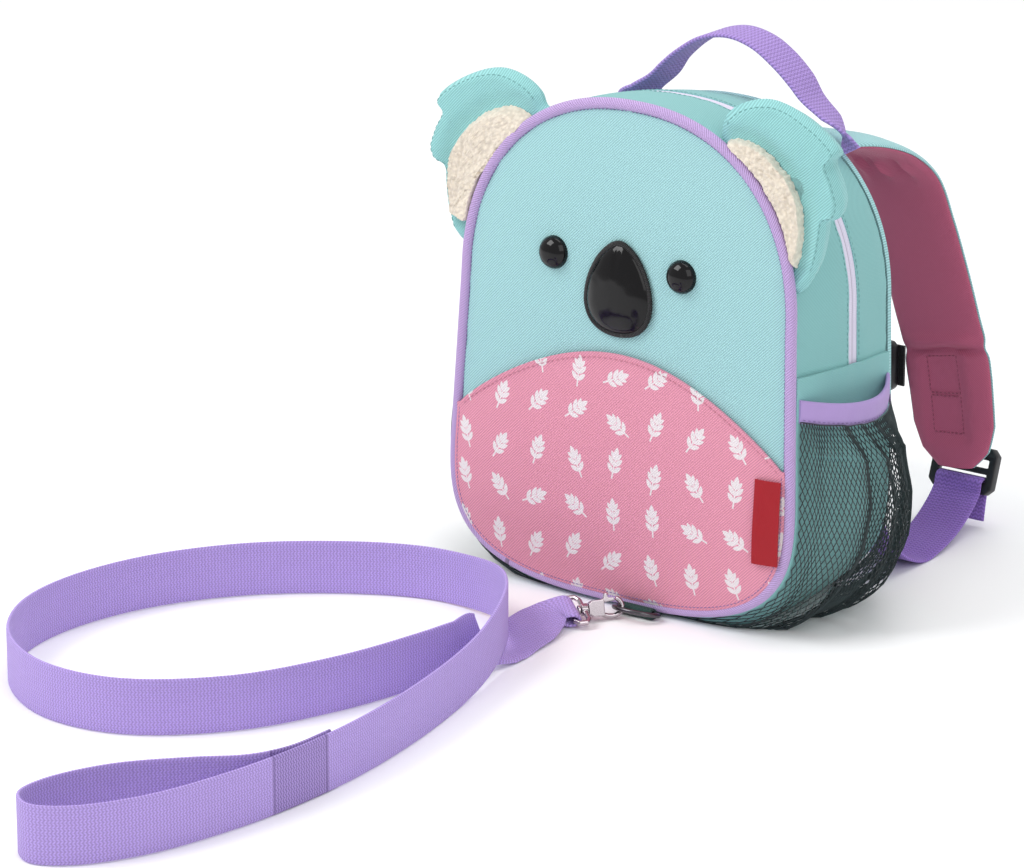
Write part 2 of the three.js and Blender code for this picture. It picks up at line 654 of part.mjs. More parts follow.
for (const [name, side] of [["eye_left", -1], ["eye_right", 1]]) {
  const mesh = add(name, eye(), "patent");
  const x = EYE.shift + side * EYE.reach;
  const surface = Math.min(...[-1, 0, 1].map((k) => frontSurface(x + k * EYE.radius, EYE.z)));
  mesh.position.set(x, surface - GAP, EYE.z);
  mesh.rotation.x = Math.PI - Math.atan(FRONT_LEAN);
}

// The nose: a padded teardrop inside a stitched rim
const NOSE_ROWS = [
  { up: 0.005, half: 0.2 }, { up: 0.05, half: 0.58 }, { up: 0.14, half: 0.84 }, { up: 0.28, half: 0.99 },
  { up: 0.42, half: 1 }, { up: 0.58, half: 0.92 }, { up: 0.74, half: 0.75 }, { up: 0.87, half: 0.53 },
  { up: 0.96, half: 0.28 }, { up: 1, half: 0.08 },
];

function noseOutline(inset) {
  const width = NOSE.width / 2 - inset;
  const height = NOSE.height - 2 * inset;
  const half = (row, side) => [NOSE.centre + side * row.half * width,
    NOSE.z - height / 2 + row.up * height];
  const right = NOSE_ROWS.map((row) => half(row, 1));
  const left = NOSE_ROWS.map((row) => half(row, -1)).reverse();
  return [...right, ...left];
}

function facePoint(x, z, depth) {
  return vec(x, frontSurface(x, z) - GAP - depth, z);
}

function noseRim() {
  const outer = noseOutline(0);
  const inner = noseOutline(NOSE.rim);
  const place = ([x, z], depth) => facePoint(x, z, depth);
  const rings = outer.map((point, i) => {
    const inside = inner[i];
    const middle = [mix(point[0], inside[0], 0.5), mix(point[1], inside[1], 0.5)];
    return [place(point, 0), place(point, NOSE.rimHeight * 0.6), place(middle, NOSE.rimHeight),
      place(inside, NOSE.rimHeight * 0.6), place(inside, 0)];
  });
  return loft(rings, true);
}

add("nose_rim", noseRim(), "thread");

add("nose", pad(noseOutline(NOSE.rim + GAP), [NOSE.centre, NOSE.z - 2], facePoint, [
  { share: 1, depth: 1.4 }, { share: 0.82, depth: 3 }, { share: 0.4, depth: 3.9, middle: NOSE.puff },
], [{ share: 1, depth: 0, middle: 0 }]), "patent");

// The ears: scalloped padded flaps that grow out of the front seam, each with a fleece face
function earPlane(z) {
  return frontY(z) + EAR.setback;
}

// The run along the bag's outline from the lower seat of a piece back to its upper one
function seamRun(from, to, count, proud) {
  return Array.from({ length: count }, (_, i) => {
    const s = mix(from, to, i / (count - 1));
    return insetOutline(FRONT, s, -proud);
  });
}

function earAnchor(ear) {
  const [x, z] = outline(FRONT, EAR.seat);
  return [x + ear.spread, z + ear.lift];
}

function earOutline(ear) {
  const [x, z] = earAnchor(ear);
  const outer = EAR_OUTLINE.map((row) => [x + row.out * EAR.reach, z + row.up * EAR.height]);
  const inner = seamRun(shareAtHeight(FRONT, z - 0.42 * EAR.height), EAR.top, 7, EAR_CLEAR);
  return [...outer, ...inner].map(([px, pz]) => [ear.side * px, pz]);
}

const EAR_CLEAR = PIPING_RADIUS + 0.8;

function fleeceOutline(ear) {
  const [x, z] = earAnchor(ear);
  const low = shareAtHeight(FRONT, z - 0.29 * EAR.height);
  const high = shareAtHeight(FRONT, z + 0.3 * EAR.height);
  const inner = seamRun(low, high, 6, EAR_CLEAR + GAP);
  const outer = FLEECE_OUTLINE.map((row, i) => {
    const t = i / (FLEECE_OUTLINE.length - 1);
    const [edgeX, edgeZ] = insetOutline(FRONT, mix(high, low, t), -EAR_CLEAR - GAP);
    const px = x + row.out * EAR.reach;
    const pz = z + row.up * EAR.height;
    return [mix(edgeX, px, ear.fleece), mix(edgeZ, pz, ear.fleece)];
  });
  return [...outer, ...inner].map(([px, pz]) => [ear.side * px, pz]);
}

for (const ear of EAR_SIDES) {
  const centre = [ear.side * (earAnchor(ear)[0] + 0.34 * EAR.reach), earAnchor(ear)[1] + 0.14 * EAR.height];
  const place = (x, z, depth) => vec(x, earPlane(z) - depth, z);
  add(`ear_${ear.name}`, pad(earOutline(ear), centre, place, [
    { share: 1, depth: 0 }, { share: 0.78, depth: EAR.front, middle: EAR.front },
  ], [
    { share: 1, depth: -EAR.hem }, { share: 0.85, depth: -EAR.puff * 0.6 },
    { share: 0.5, depth: -EAR.puff * 0.95, middle: -EAR.puff },
  ]), "mint");
  const lift = EAR.front + GAP;
  const middle = [ear.side * (earAnchor(ear)[0] + mix(0.02, 0.3, ear.fleece) * EAR.reach),
    earAnchor(ear)[1] + 0.09 * EAR.height];
  add(`ear_fleece_${ear.name}`, pad(fleeceOutline(ear), middle, place, [
    { share: 1, depth: lift + 0.8 }, { share: 0.86, depth: lift + FLEECE.puff * 0.75 },
    { share: 0.5, depth: lift + FLEECE.puff, middle: lift + FLEECE.puff },
  ], [{ share: 1, depth: lift, middle: lift }]), "fleece");
}

// The net pockets: they bulge from the flanks, open at the top behind their bindings
function bump(w) {
  return Math.max(0, 1 - (2 * w - 1) ** 2);
}

const POCKET_FROM = 0.03;
const POCKET_TO = 0.97;

// A point of the pocket on the +X side, at a height and an outward reach
function pocketPoint(w, z, out, proud) {
  const v = mix(POCKET_FROM, POCKET_TO, w);
  const s = shareAtHeight(gussetSpec(v), Math.max(z, 1));
  const point = gussetPoint(s, v, -proud);
  return point.add(vec(out * bump(w), 0, 0));
}

function bindingTop(w) {
  return mix(POCKET.front, POCKET.back, w) - POCKET.sag * bump(w);
}

function mirrored(grid, side) {
  return grid.map((row) => row.map((point) => vec(side * point.x, point.y, point.z)));
}

function netSurface(proud) {
  return POCKET_ROWS.map((row) => Array.from({ length: POCKET.columns + 1 }, (_, j) => {
    const w = j / POCKET.columns;
    const top = bindingTop(w) - POCKET.binding - GAP;
    const fold = (j % 2 ? 1 : -1) * POCKET.fold * bump(w) * (1 - row.up * 0.6);
    return pocketPoint(w, row.up * top, row.out * POCKET.reach + fold, proud);
  }));
}

function bindingSurface(proud) {
  return [0, 1].map((end) => Array.from({ length: 13 }, (_, j) => {
    const w = j / 12;
    return pocketPoint(w, bindingTop(w) - POCKET.binding * (1 - end), POCKET.mouth * POCKET.reach, proud);
  }));
}

const netHole = (i) => i > 0;

for (const [name, side] of [["left", -1], ["right", 1]]) {
  const net = mirrored(netSurface(POCKET.clear + POCKET.wall), side);
  add(`pocket_mesh_${name}`, wall(net, mirrored(netSurface(POCKET.clear), side), netHole, POCKET.gapShare), "net");
  const ribbon = mirrored(bindingSurface(GAP + POCKET.bindingWall), side);
  add(`pocket_binding_${name}`, wall(ribbon, mirrored(bindingSurface(GAP), side)), "lavender");
}

// The carry handle: webbing that leaves the back seam on edge and turns flat over the hand
function handle() {
  const half = HANDLE_ROWS.map((row) => ({ ...row, side: -1 }));
  const rows = [...half, { out: 0, up: 1, turn: 0, side: 1 }, ...HANDLE_ROWS.map((row) => ({ ...row, side: 1 }))
    .reverse()];
  const y = BAG_DEPTH / 2 + BACK_WALL + HANDLE.thickness / 2;
  const points = rows.map((row) => vec(HANDLE.shift + row.side * row.out * HANDLE.halfSpan, y,
    HANDLE.foot + row.up * HANDLE.rise));
  const path = smooth(points, 2);
  const turns = column(rows.map((row) => row.turn), 2);
  const sides = column(rows.map((row) => row.side), 2);
  const across = turns.map((turn, i) => vec(-Math.sin(turn * RAD) * Math.sign(sides[i]) * 0.7,
    Math.cos(turn * RAD), -Math.sin(turn * RAD) * 0.7));
  return band(path, across, path.map(() => HANDLE.width), flatSection(HANDLE.thickness));
}

add("handle", handle(), "lavender");

// The shoulder straps: a padded outer and a lining on the side that faces the wearer
const STRAP_STEPS = 2;

function strapRun(side) {
  const start = GUSSET_END + GAP + BACK_WALL + BACK_DOME * 0.35 + GAP;
  const points = STRAP_ROWS.map((row) => vec(side * (STRAP.inner + row.out * STRAP.flare),
    start + row.back * STRAP.reach, STRAP.top - row.down * STRAP.drop));
  return {
    path: smooth(points, STRAP_STEPS),
    widths: column(STRAP_ROWS.map((row) => row.wide * STRAP.width), STRAP_STEPS),
  };
}

function strapPiece(side, section) {
  const { path, widths } = strapRun(side);
  return band(path, path.map(() => X_AXIS), widths, section);
}

const PAD_SECTION = [[-0.5, GAP], [0.5, GAP], [0.48, STRAP.thickness * 0.55], [0.25, STRAP.thickness],
  [-0.25, STRAP.thickness], [-0.48, STRAP.thickness * 0.55]];
const LINING_SECTION = [[-0.49, 0], [0.49, 0], [0.3, -STRAP.lining], [-0.3, -STRAP.lining]];

for (const [name, side] of [["left", -1], ["right", 1]]) {
  add(`strap_pad_${name}`, strapPiece(side, PAD_SECTION), "mint");
  add(`strap_lining_${name}`, strapPiece(side, LINING_SECTION), "rose");
}

// The lock at each strap's tip, and the webbing from the bag's lower corner through it
function tipPoint() {
  const { path } = strapRun(1);
  return path[path.length - 1];
}

const LOCK_AT = tipPoint().add(vec(0, LOCK.behind, -LOCK.below));
const LOCK_TURN = Math.PI / 2 - LOCK.tilt * RAD;

// A point of the +X lock's own frame, up its face and out of it, in the bag's frame
function lockPoint(up, out) {
  return LOCK_AT.clone().add(vec(0, up * Math.cos(LOCK_TURN) - out * Math.sin(LOCK_TURN),
    up * Math.sin(LOCK_TURN) + out * Math.cos(LOCK_TURN)));
}

function lock() {
  const { width, height, slot, bar } = LOCK;
  const round = 3;
  const x = width / 2;
  const y = height / 2;
  const shape = outlineShape([[-x + round, -y], [x - round, -y], [x, -y + round], [x, y - round], [x - round, y],
    [-x + round, y], [-x, y - round], [-x, -y + round]]);
  const slotHalf = WEB.width / 2 + 0.6;
  for (const centre of [-bar / 2 - slot / 2, bar / 2 + slot / 2]) {
    shape.holes.push(polygonHole(slotCorners(0, centre, slotHalf, slot / 2)));
  }
  return new THREE.ExtrudeGeometry(shape, { depth: LOCK.thickness, bevelEnabled: false })
    .translate(0, 0, -LOCK.thickness / 2);
}

// From the bag's lower corner down to the floor, up through the lock's lower slot and down as a tail
function lowerWebbing(side) {
  const z = WEB.clear;
  const slotUp = -LOCK.bar / 2 - LOCK.slot / 2;
  const face = LOCK.thickness / 2 + WEB.thickness / 2 + GAP;
  const start = GUSSET_END + GAP + BACK_WALL + GAP + WEB.thickness / 2;
  const under = lockPoint(-LOCK.height / 2, face);
  const points = [
    vec(WEB.x, start, WEB.foot), vec(WEB.x, start + 8, WEB.foot * 0.62),
    vec(WEB.x, start + 22, WEB.foot * 0.24), vec(WEB.x, WEB.fold, z), vec(WEB.x, WEB.fold + 13, z + 1.6),
    vec(mix(WEB.x, under.x, 0.6), mix(WEB.fold, under.y, 0.68), mix(z, under.z, 0.4)),
    under, lockPoint(slotUp - 1.6, face), lockPoint(slotUp, 0), lockPoint(slotUp - 1.6, -face),
    lockPoint(-LOCK.height / 2, -face), lockPoint(-LOCK.height / 2 - WEB.tail, -face - 2),
  ];
  const path = smooth(points.map((p) => vec(side * p.x, p.y, p.z)), 2);
  return band(path, path.map(() => X_AXIS), path.map(() => WEB.width), flatSection(WEB.thickness));
}

for (const [name, side] of [["left", -1], ["right", 1]]) {
  add(`lower_webbing_${name}`, lowerWebbing(side), "violet");
  const mesh = add(`ladder_lock_${name}`, lock(), "black");
  mesh.position.set(side * LOCK_AT.x, LOCK_AT.y, LOCK_AT.z);
  mesh.rotation.x = LOCK_TURN;
}

// The chest strap: a socket held at the right pad, its plug, and webbing to the left pad
function strapAt(z) {
  const { path } = strapRun(1);
  const after = path.findIndex((point, i) => i > 4 && point.z < z);
  const before = path[after - 1];
  return before.clone().lerp(path[after], (before.z - z) / (before.z - path[after].z));
}

const CHEST_Y = strapAt(CHEST.z).y - CHEST.sunk;
const CHEST_EDGE = strapAt(CHEST.z + CHEST.width / 2).x - STRAP.width / 2;

function slotHole(x) {
  return polygonHole(slotCorners(x, 0, BUCKLE.slot / 2, CHEST.width / 2 + GAP));
}

// Drawn in X and Z and given its thickness along Y
function upright(shape, thickness) {
  return new THREE.ExtrudeGeometry(shape, { depth: thickness, bevelEnabled: false })
    .translate(0, 0, -thickness / 2).rotateX(Math.PI / 2);
}

const SOCKET_X = CHEST_EDGE - CHEST.clear;

function buckleSocket() {
  const { socket, height, arm, armReach } = BUCKLE;
  const half = height / 2;
  const neck = half - arm - GAP;
  const shape = outlineShape([
    [0, -half + 2], [0, half - 2], [-2, half], [-(socket - armReach) + GAP, half],
    [-(socket - armReach) + GAP, neck], [-socket, neck], [-socket, -neck],
    [-(socket - armReach) + GAP, -neck], [-(socket - armReach) + GAP, -half], [-2, -half],
  ]);
  shape.holes.push(slotHole(-3.4));
  return upright(shape, BUCKLE.thickness).translate(SOCKET_X, CHEST_Y, CHEST.z);
}

function bucklePlug() {
  const { socket, plug, height, arm, armReach } = BUCKLE;
  const half = height / 2;
  const neck = half - arm;
  const root = -socket - GAP;
  const tip = -(socket - armReach);
  const shape = outlineShape([
    [root, neck], [tip, neck], [tip, half - 1], [tip - 2, half + 0.6], [root + 3, half - 1], [root - 2, half],
    [root - plug, half], [root - plug, -half], [root - 2, -half], [root + 3, -half + 1], [tip - 2, -half - 0.6],
    [tip, -half + 1], [tip, -neck], [root, -neck],
  ]);
  shape.holes.push(slotHole(root - plug + 3.4));
  return upright(shape, BUCKLE.thickness - 1).translate(SOCKET_X, CHEST_Y, CHEST.z);
}

add("buckle_socket", buckleSocket(), "black");
add("buckle_plug", bucklePlug(), "black");

// A strip from a pad's edge over a slot of the buckle, on its outer face
function chestWebbing(padX, slotX, side) {
  const y = CHEST_Y + BUCKLE.thickness / 2 + CHEST.thickness / 2 + GAP;
  const path = [vec(padX - side * GAP, y, CHEST.z), vec(slotX - side * 3, y, CHEST.z)];
  return band(path, path.map(() => Z_AXIS), path.map(() => CHEST.width), flatSection(CHEST.thickness));
}

const PLUG_SLOT = SOCKET_X - BUCKLE.socket - GAP - BUCKLE.plug + 3.4;
add("chest_webbing_right", chestWebbing(CHEST_EDGE, SOCKET_X - 3.4, 1), "black");
add("chest_webbing_left", chestWebbing(-CHEST_EDGE, PLUG_SLOT, -1), "black");

// The ring lies at the bottom front seam, its bar held in the tab
function ringPath() {
  const { halfWidth, depth, x, y, z, rise } = RING;
  const arc = Array.from({ length: 15 }, (_, i) => {
    const angle = Math.PI * (i / 14);
    const down = Math.sin(angle) ** 0.9;
    return vec(x + halfWidth * Math.cos(angle), y - depth * down, z + rise * down);
  });
  return [...arc, vec(x - halfWidth * 0.5, y + 0.35, z), vec(x + halfWidth * 0.5, y + 0.35, z)];
}

add("ring", roundBar(ringPath(), RING.radius, 6, true), "steel");

function ringTab() {
  const { y, z, radius } = RING;
  const bottom = 0.15;
  const outer = z - bottom;
  const barY = y + 0.35;
  const arc = Array.from({ length: 9 }, (_, i) => {
    const angle = -Math.PI / 2 - Math.PI * i / 8;
    return [barY + outer * Math.cos(angle), z + outer * Math.sin(angle)];
  });
  const shape = outlineShape([[-TAB.tail, bottom + TAB.rise], ...arc, [-48.6, z + outer * 0.6],
    [-47.9, bottom + TAB.thickness + TAB.rise], [-TAB.tail, bottom + TAB.thickness + TAB.rise]]);
  const bore = radius + GAP + 0.1;
  shape.holes.push(polygonHole(Array.from({ length: 10 }, (_, i) => {
    const angle = i / 10 * 2 * Math.PI;
    return [barY + bore * Math.cos(angle), z + bore * Math.sin(angle)];
  })));
  return new THREE.ExtrudeGeometry(shape, { depth: TAB.width, bevelEnabled: false })
    .rotateX(Math.PI / 2).rotateZ(Math.PI / 2).translate(RING.x - TAB.width / 2, 0, 0);
}

add("ring_tab", ringTab(), "webGreen");

// The trigger hook: its axis runs from the webbing to the ring. The swivel's eye stays level, and the hook
// turns in the eye's boss.
function crossing() {
  const angle = Math.acos(-0.636);
  const down = Math.sin(angle) ** 0.9;
  return vec(RING.x + RING.halfWidth * Math.cos(angle), RING.y - RING.depth * down, HOOK.z);
}

const HOOK_ALONG = vec(Math.cos(HOOK.yaw * RAD), Math.sin(HOOK.yaw * RAD), 0);
const HOOK_AT = crossing().addScaledVector(HOOK_ALONG, -HOOK.reach);
const swivel = new THREE.Group();
swivel.position.copy(HOOK_AT);
swivel.rotation.z = HOOK.yaw * RAD;
model.add(swivel);
const hook = new THREE.Group();
hook.rotation.x = HOOK.roll * RAD;
swivel.add(hook);

// A round rod along the hook's axis
function rod(from, to, radius, sides = 14) {
  return new THREE.CylinderGeometry(radius, radius, to - from, sides).rotateZ(-Math.PI / 2)
    .translate((from + to) / 2, 0, 0);
}

function swivelEye() {
  const { back, halfWidth, radius, boss, bossBack, bossFront, bore } = EYELET;
  const corner = 1.6;
  const loop = [
    [-back, -halfWidth + corner], [-back, halfWidth - corner], [-back + corner, halfWidth],
    [-corner, halfWidth], [0, halfWidth - corner * 1.8], [0, -halfWidth + corner * 1.8], [-corner, -halfWidth],
    [-back + corner, -halfWidth],
  ].map(([x, y]) => vec(x, y, 0));
  const body = toSolid(roundBar(loop, radius, 8, true)).add(toSolid(rod(-bossBack, bossFront, boss)));
  const bored = body.subtract(toSolid(rod(-2 * bossBack, 2 * bossFront, bore)));
  return fromSolid(bored).rotateX(TETHER.hemRoll * RAD);
}

function flatPlate(points, thickness) {
  return new THREE.ExtrudeGeometry(outlineShape(points), { depth: thickness, bevelEnabled: false })
    .translate(0, 0, -thickness / 2);
}

function hookBody() {
  const { start, end, half, thickness, slot, stem, head } = BODY;
  const headBack = -EYELET.bossBack - GAP;
  const plate = flatPlate([[start, -half * 0.6], [start + 1.8, -half * 0.95], [end, -half], [end, half],
    [start + 1.8, half * 0.95], [start, half * 0.6]], thickness);
  const bow = smooth([vec(end - 1.5, -half + HOOK.wire, 0), vec(end + 2, -half, 0), vec(end + 5.5, -half + 0.1, 0),
    vec(end + 7.9, -half * 0.55, 0), vec(end + 8.7, 0, 0), vec(end + 7.7, half * 0.7, 0),
    vec(GATE.tip + GAP + 0.7, half + 0.2, 0)], 2);
  const pocket = new THREE.BoxGeometry(end - GATE.x + GATE.barrel + 2, half, slot)
    .translate((end + GATE.x - GATE.barrel) / 2 + 1 - GAP, GATE.y - GATE.barrel - GAP + half / 2, 0);
  const body = toSolid(plate)
    .subtract(toSolid(pocket))
    .add(toSolid(roundBar(bow, HOOK.wire, 8, false)))
    .add(toSolid(rod(headBack, start + 0.6, stem)))
    .add(toSolid(rod(headBack - 1.1, headBack, head)));
  return fromSolid(body);
}

function hookGate() {
  const { x, y, barrel, tip, thickness, width, thumb } = GATE;
  const top = BODY.half + 0.4;
  const bar = flatPlate([[x, y], [tip, top - thickness], [tip, top], [x + 3.9, top + 0.2],
    [x + 3.5, top + thumb], [x + 2.3, top + thumb], [x + 1.9, top], [x, y + barrel]], width);
  const pivot = new THREE.CylinderGeometry(barrel, barrel, width, 12).rotateX(Math.PI / 2).translate(x, y, 0);
  return fromSolid(toSolid(bar).add(toSolid(pivot)));
}

add("swivel_eye", swivelEye(), "chrome", swivel);
add("hook_body", hookBody(), "chrome", hook);
add("hook_gate", hookGate(), "chrome", hook);

// The tether: folded round the eye's bar, laid out over the floor, and sewn back to itself as a hand loop
function tether() {
  const bar = HOOK_AT.clone().addScaledVector(HOOK_ALONG, -EYELET.back);
  const wrap = EYELET.radius + GAP + 0.15 + TETHER.thickness / 2;
  const yaw = HOOK.yaw + 90;
  const lean = Math.sin(TETHER.hemRoll * RAD);
  const lift = vec(-lean * Math.cos(yaw * RAD), -lean * Math.sin(yaw * RAD), Math.cos(TETHER.hemRoll * RAD));
  const hemRow = (along, up) => ({ point: bar.clone().addScaledVector(HOOK_ALONG, along).addScaledVector(lift, up),
    roll: TETHER.hemRoll, yaw, wide: TETHER.fold });
  const main = TETHER_ROUTE.map((row) => ({ ...row, point: vec(row.x, row.y, row.low
    + row.wide / 2 * Math.sin(row.roll * RAD) + TETHER.thickness / 2 * Math.cos(row.roll * RAD)) }));
  const [first] = main;
  const rows = [
    { ...first, point: first.point.clone().add(vec(0.1, 0.5, -2)), wide: TETHER.fold },
    hemRow(-7, -1.5), hemRow(0, -wrap), hemRow(wrap, 0), hemRow(0, wrap), hemRow(-7, 1.5),
    ...main,
  ];
  const path = smooth(rows.map((row) => row.point), 2);
  const yaws = column(rows.map((row) => row.yaw), 2);
  const across = column(rows.map((row) => row.roll), 2).map((roll, i) => {
    const flat = Math.cos(roll * RAD);
    return vec(flat * Math.cos(yaws[i] * RAD), flat * Math.sin(yaws[i] * RAD), Math.sin(roll * RAD));
  });
  return band(path, across, column(rows.map((row) => row.wide), 2), flatSection(TETHER.thickness));
}

add("tether", tether(), "lavender");

export default model;
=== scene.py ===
"""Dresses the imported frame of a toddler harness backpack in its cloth, fleece, webbing, net and hardware.

Shapes are worked out in millimetres, in the frame's own axes: +Z up, the animal face towards -Y.
"""

import math

import bmesh
import bpy
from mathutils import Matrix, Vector, noise


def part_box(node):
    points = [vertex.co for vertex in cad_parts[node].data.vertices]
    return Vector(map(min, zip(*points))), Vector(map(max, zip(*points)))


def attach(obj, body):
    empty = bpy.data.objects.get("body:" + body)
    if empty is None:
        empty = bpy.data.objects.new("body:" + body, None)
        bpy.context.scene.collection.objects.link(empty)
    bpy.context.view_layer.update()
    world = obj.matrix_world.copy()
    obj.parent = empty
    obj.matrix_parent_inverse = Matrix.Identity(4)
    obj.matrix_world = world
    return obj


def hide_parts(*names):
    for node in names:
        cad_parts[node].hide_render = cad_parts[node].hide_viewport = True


bl_info = {
    "name": "Harness Backpack",
    "version": (1, 0, 0),
    "blender": (4, 5, 0),
    "location": "3D View > Sidebar > Harness Backpack",
    "description": "Builds a toddler harness backpack piece by piece around its packed frame",
    "category": "Add Mesh",
}

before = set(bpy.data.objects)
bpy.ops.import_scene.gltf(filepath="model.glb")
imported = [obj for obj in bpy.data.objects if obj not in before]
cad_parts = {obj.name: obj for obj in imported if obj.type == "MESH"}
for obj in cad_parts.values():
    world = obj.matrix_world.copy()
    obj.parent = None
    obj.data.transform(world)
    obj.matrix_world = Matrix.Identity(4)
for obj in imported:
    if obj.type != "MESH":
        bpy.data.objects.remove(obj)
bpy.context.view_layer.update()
MM = 0.001
CLOTH_COORDS = "cloth_mm"

SIDES = (("left", -1), ("right", 1))

# The bag's form, as in the part's source
BAG_DEPTH = 90
FRONT_LEAN = 0.05
SIDE_BULGE = 2.5
BASE_DROP = 65
FRONT = {"top_half": 86.5, "top_z": 140, "top_rise": 87.5, "top_power": 2.2, "low_half": 90, "low_z": 60,
         "low_drop": 55.7, "low_power": 3}
BACK = {"top_half": 84, "top_z": 135, "top_rise": 82, "top_power": 2.2, "low_half": 86, "low_z": 60,
        "low_drop": BASE_DROP, "low_power": 3}
FRONT_DOME = 5
BACK_DOME = 3
CLOTH = 1.6
BACK_WALL = 2.4
PIPING_RADIUS = 2.5
GUSSET_PROUD = 1
GUSSET_END = BAG_DEPTH / 2 - 1.5
GAP = 0.3
ARCH_STEPS = 170
ARCH_LENGTH = 340
SEAM_FRONT = 120
SEAM_BACK = 112
LOW = 0.35
HIGH = 0.6
ZIP_WIDTH = 9
ZIP_SHARE = 0.575
ZIP_FORWARD = 0.1
BELLY = {"side": 79, "apex": 118, "shift": 2.5, "lift": 0.8, "cloth": 1.2}
LABEL = {"width": 12, "height": 38, "x": 75.3, "z": 37}
EYE = {"radius": 7.5, "height": 5.2, "reach": 34, "shift": -1.7, "z": 157.5}
NOSE = {"width": 36, "height": 43, "centre": 0.3, "z": 147, "rim": 2.6}
NOSE_ROWS = [(0.005, 0.2), (0.05, 0.58), (0.14, 0.84), (0.28, 0.99), (0.42, 1), (0.58, 0.92), (0.74, 0.75),
             (0.87, 0.53), (0.96, 0.28), (1, 0.08)]
EAR = {"reach": 36, "height": 82, "seat": 0.74, "top": 0.87, "setback": 4, "clear": PIPING_RADIUS + 0.8}
EAR_OUTLINE = [(-0.77, 0.42), (-0.68, 0.49), (-0.46, 0.55), (-0.15, 0.58), (0.14, 0.56), (0.46, 0.5),
               (0.74, 0.42), (0.845, 0.366), (0.752, 0.312), (0.87, 0.2), (0.945, 0.09), (0.89, 0.02),
               (0.73, -0.015), (0.7, -0.11), (0.65, -0.235), (0.56, -0.33), (0.46, -0.39)]
EAR_SIDES = [
    {"name": "left", "side": -1, "lift": -3, "spread": 2, "fleece": 1},
    {"name": "right", "side": 1, "lift": 3, "spread": -2, "fleece": 0.66},
]
FLEECE_OUTLINE = [(-0.6, 0.35), (-0.4, 0.385), (-0.14, 0.375), (0.19, 0.3), (0.44, 0.19), (0.56, 0.08),
                  (0.575, -0.03), (0.54, -0.12), (0.47, -0.2), (0.38, -0.26)]
POCKET = {"reach": 26, "clear": 1.7, "binding": 10.5, "front": 111, "back": 103, "sag": 4, "mouth": 0.4}
POCKET_ROWS = [(0.06, 0.42), (0.12, 0.55), (0.22, 0.7), (0.43, 0.88), (0.66, 0.98), (0.86, 0.8), (1, 0.4)]
HANDLE = {"half": 60.5, "shift": 0.6, "foot": 199, "rise": 46, "width": 22, "thick": 2}
HANDLE_ROWS = [(1, 0, 80), (0.93, 0.16, 34), (0.82, 0.3, 14), (0.66, 0.46, 8), (0.55, 0.63, 2), (0.4, 0.8, 0),
               (0.22, 0.94, 0)]
STRAP = {"width": 46, "top": 201, "drop": 173, "inner": 38, "flare": 29, "reach": 90}
STRAP_ROWS = [(-0.15, 0, 0.024, 0.6), (-0.14, 0.07, 0.022, 0.72), (0, 0.3, 0.035, 0.94),
              (0.11, 0.58, 0.09, 1), (0.21, 0.75, 0.168, 1), (0.33, 0.846, 0.295, 1), (0.48, 0.913, 0.434, 1),
              (0.64, 0.956, 0.566, 1), (0.76, 0.985, 0.66, 1), (0.85, 0.99, 0.746, 1), (0.94, 1, 0.873, 0.96),
              (0.98, 1, 0.945, 0.78), (1, 0.998, 0.99, 0.42)]
PATCH = {"shift": -2, "half": 8, "z": 64.5, "reach": 18.5, "gap": 1.4}
WEB = {"width": 25, "thick": 1.6, "x": 71, "foot": 30, "fold": 86, "clear": 0.9, "tail": 12}
LOCK = {"height": 22, "thick": 5, "slot": 3.8, "bar": 3, "tilt": 20, "below": 3, "behind": 9}
RING = {"half": 11, "depth": 9, "radius": 1.1, "x": 17, "y": -51, "z": 2.9, "rise": 2.7}
HOOK = {"yaw": 51.7, "z": 5.5, "reach": 14.7, "ring_share": -0.636, "eye_back": 6.5, "eye_radius": 1.2}
TETHER = {"width": 25, "thick": 1.6, "fold": 17, "roll": 12}
# Each row is x, y, the height of the lower edge, roll, yaw and width
TETHER_ROUTE = [
    (-7.8, -89, 2.2, 12, 160, 22), (-6.5, -100, 0.8, 11, 168, 25), (-5.5, -113, 0.7, 4, 178, 25),
    (-4, -127, 0.6, 6, 181, 25), (-3.5, -142, 0.3, 62, 185, 25), (-5, -158, 0.3, 90, 190, 25),
    (-8.5, -178, 0.3, 90, 195, 25), (-19, -219, 0.3, 90, 195, 25), (-41, -264, 0.3, 90, 195, 25),
    (-77, -294, 0.3, 90, 195, 25), (-115, -298, 0.3, 90, 195, 25), (-150, -280, 0.3, 90, 195, 25),
    (-171, -249, 0.3, 90, 195, 25), (-176, -214, 0.3, 90, 195, 25), (-166, -171, 0.3, 90, 195, 25),
    (-140, -131, 0.3, 90, 195, 25), (-102, -101, 0.3, 90, 195, 25), (-72, -88, 0.3, 90, 195, 25),
    (-46, -88, 1, 90, 195, 25), (-24, -99, 4, 90, 195, 25), (-7, -117, 6, 90, 195, 25),
    (5, -138, 5.4, 90, 195, 25), (12.5, -160, 2, 90, 195, 25), (19, -186, 0.3, 90, 195, 25),
    (27, -226, 0.3, 90, 195, 25), (31.5, -268, 0.3, 90, 195, 25), (31, -308, 0.3, 90, 195, 25),
    (25.5, -348, 0.3, 90, 195, 25), (14, -386, 0.3, 90, 195, 25), (-2, -410, 0.3, 90, 195, 25),
    (-17, -418, 0.3, 90, 195, 25), (-28, -411, 0.3, 90, 195, 25), (-29, -395, 0.3, 90, 195, 25),
    (-18, -368, 0.3, 90, 195, 25), (3, -344, 0.3, 90, 195, 25), (20, -328, 0.3, 90, 195, 25),
    (27.6, -311, 0.3, 90, 195, 25), (29.5, -288, 0.3, 90, 195, 25),
]


def mix(a, b, t):
    return a + (b - a) * t


def clamp(x, low=0.0, high=1.0):
    return max(low, min(high, x))


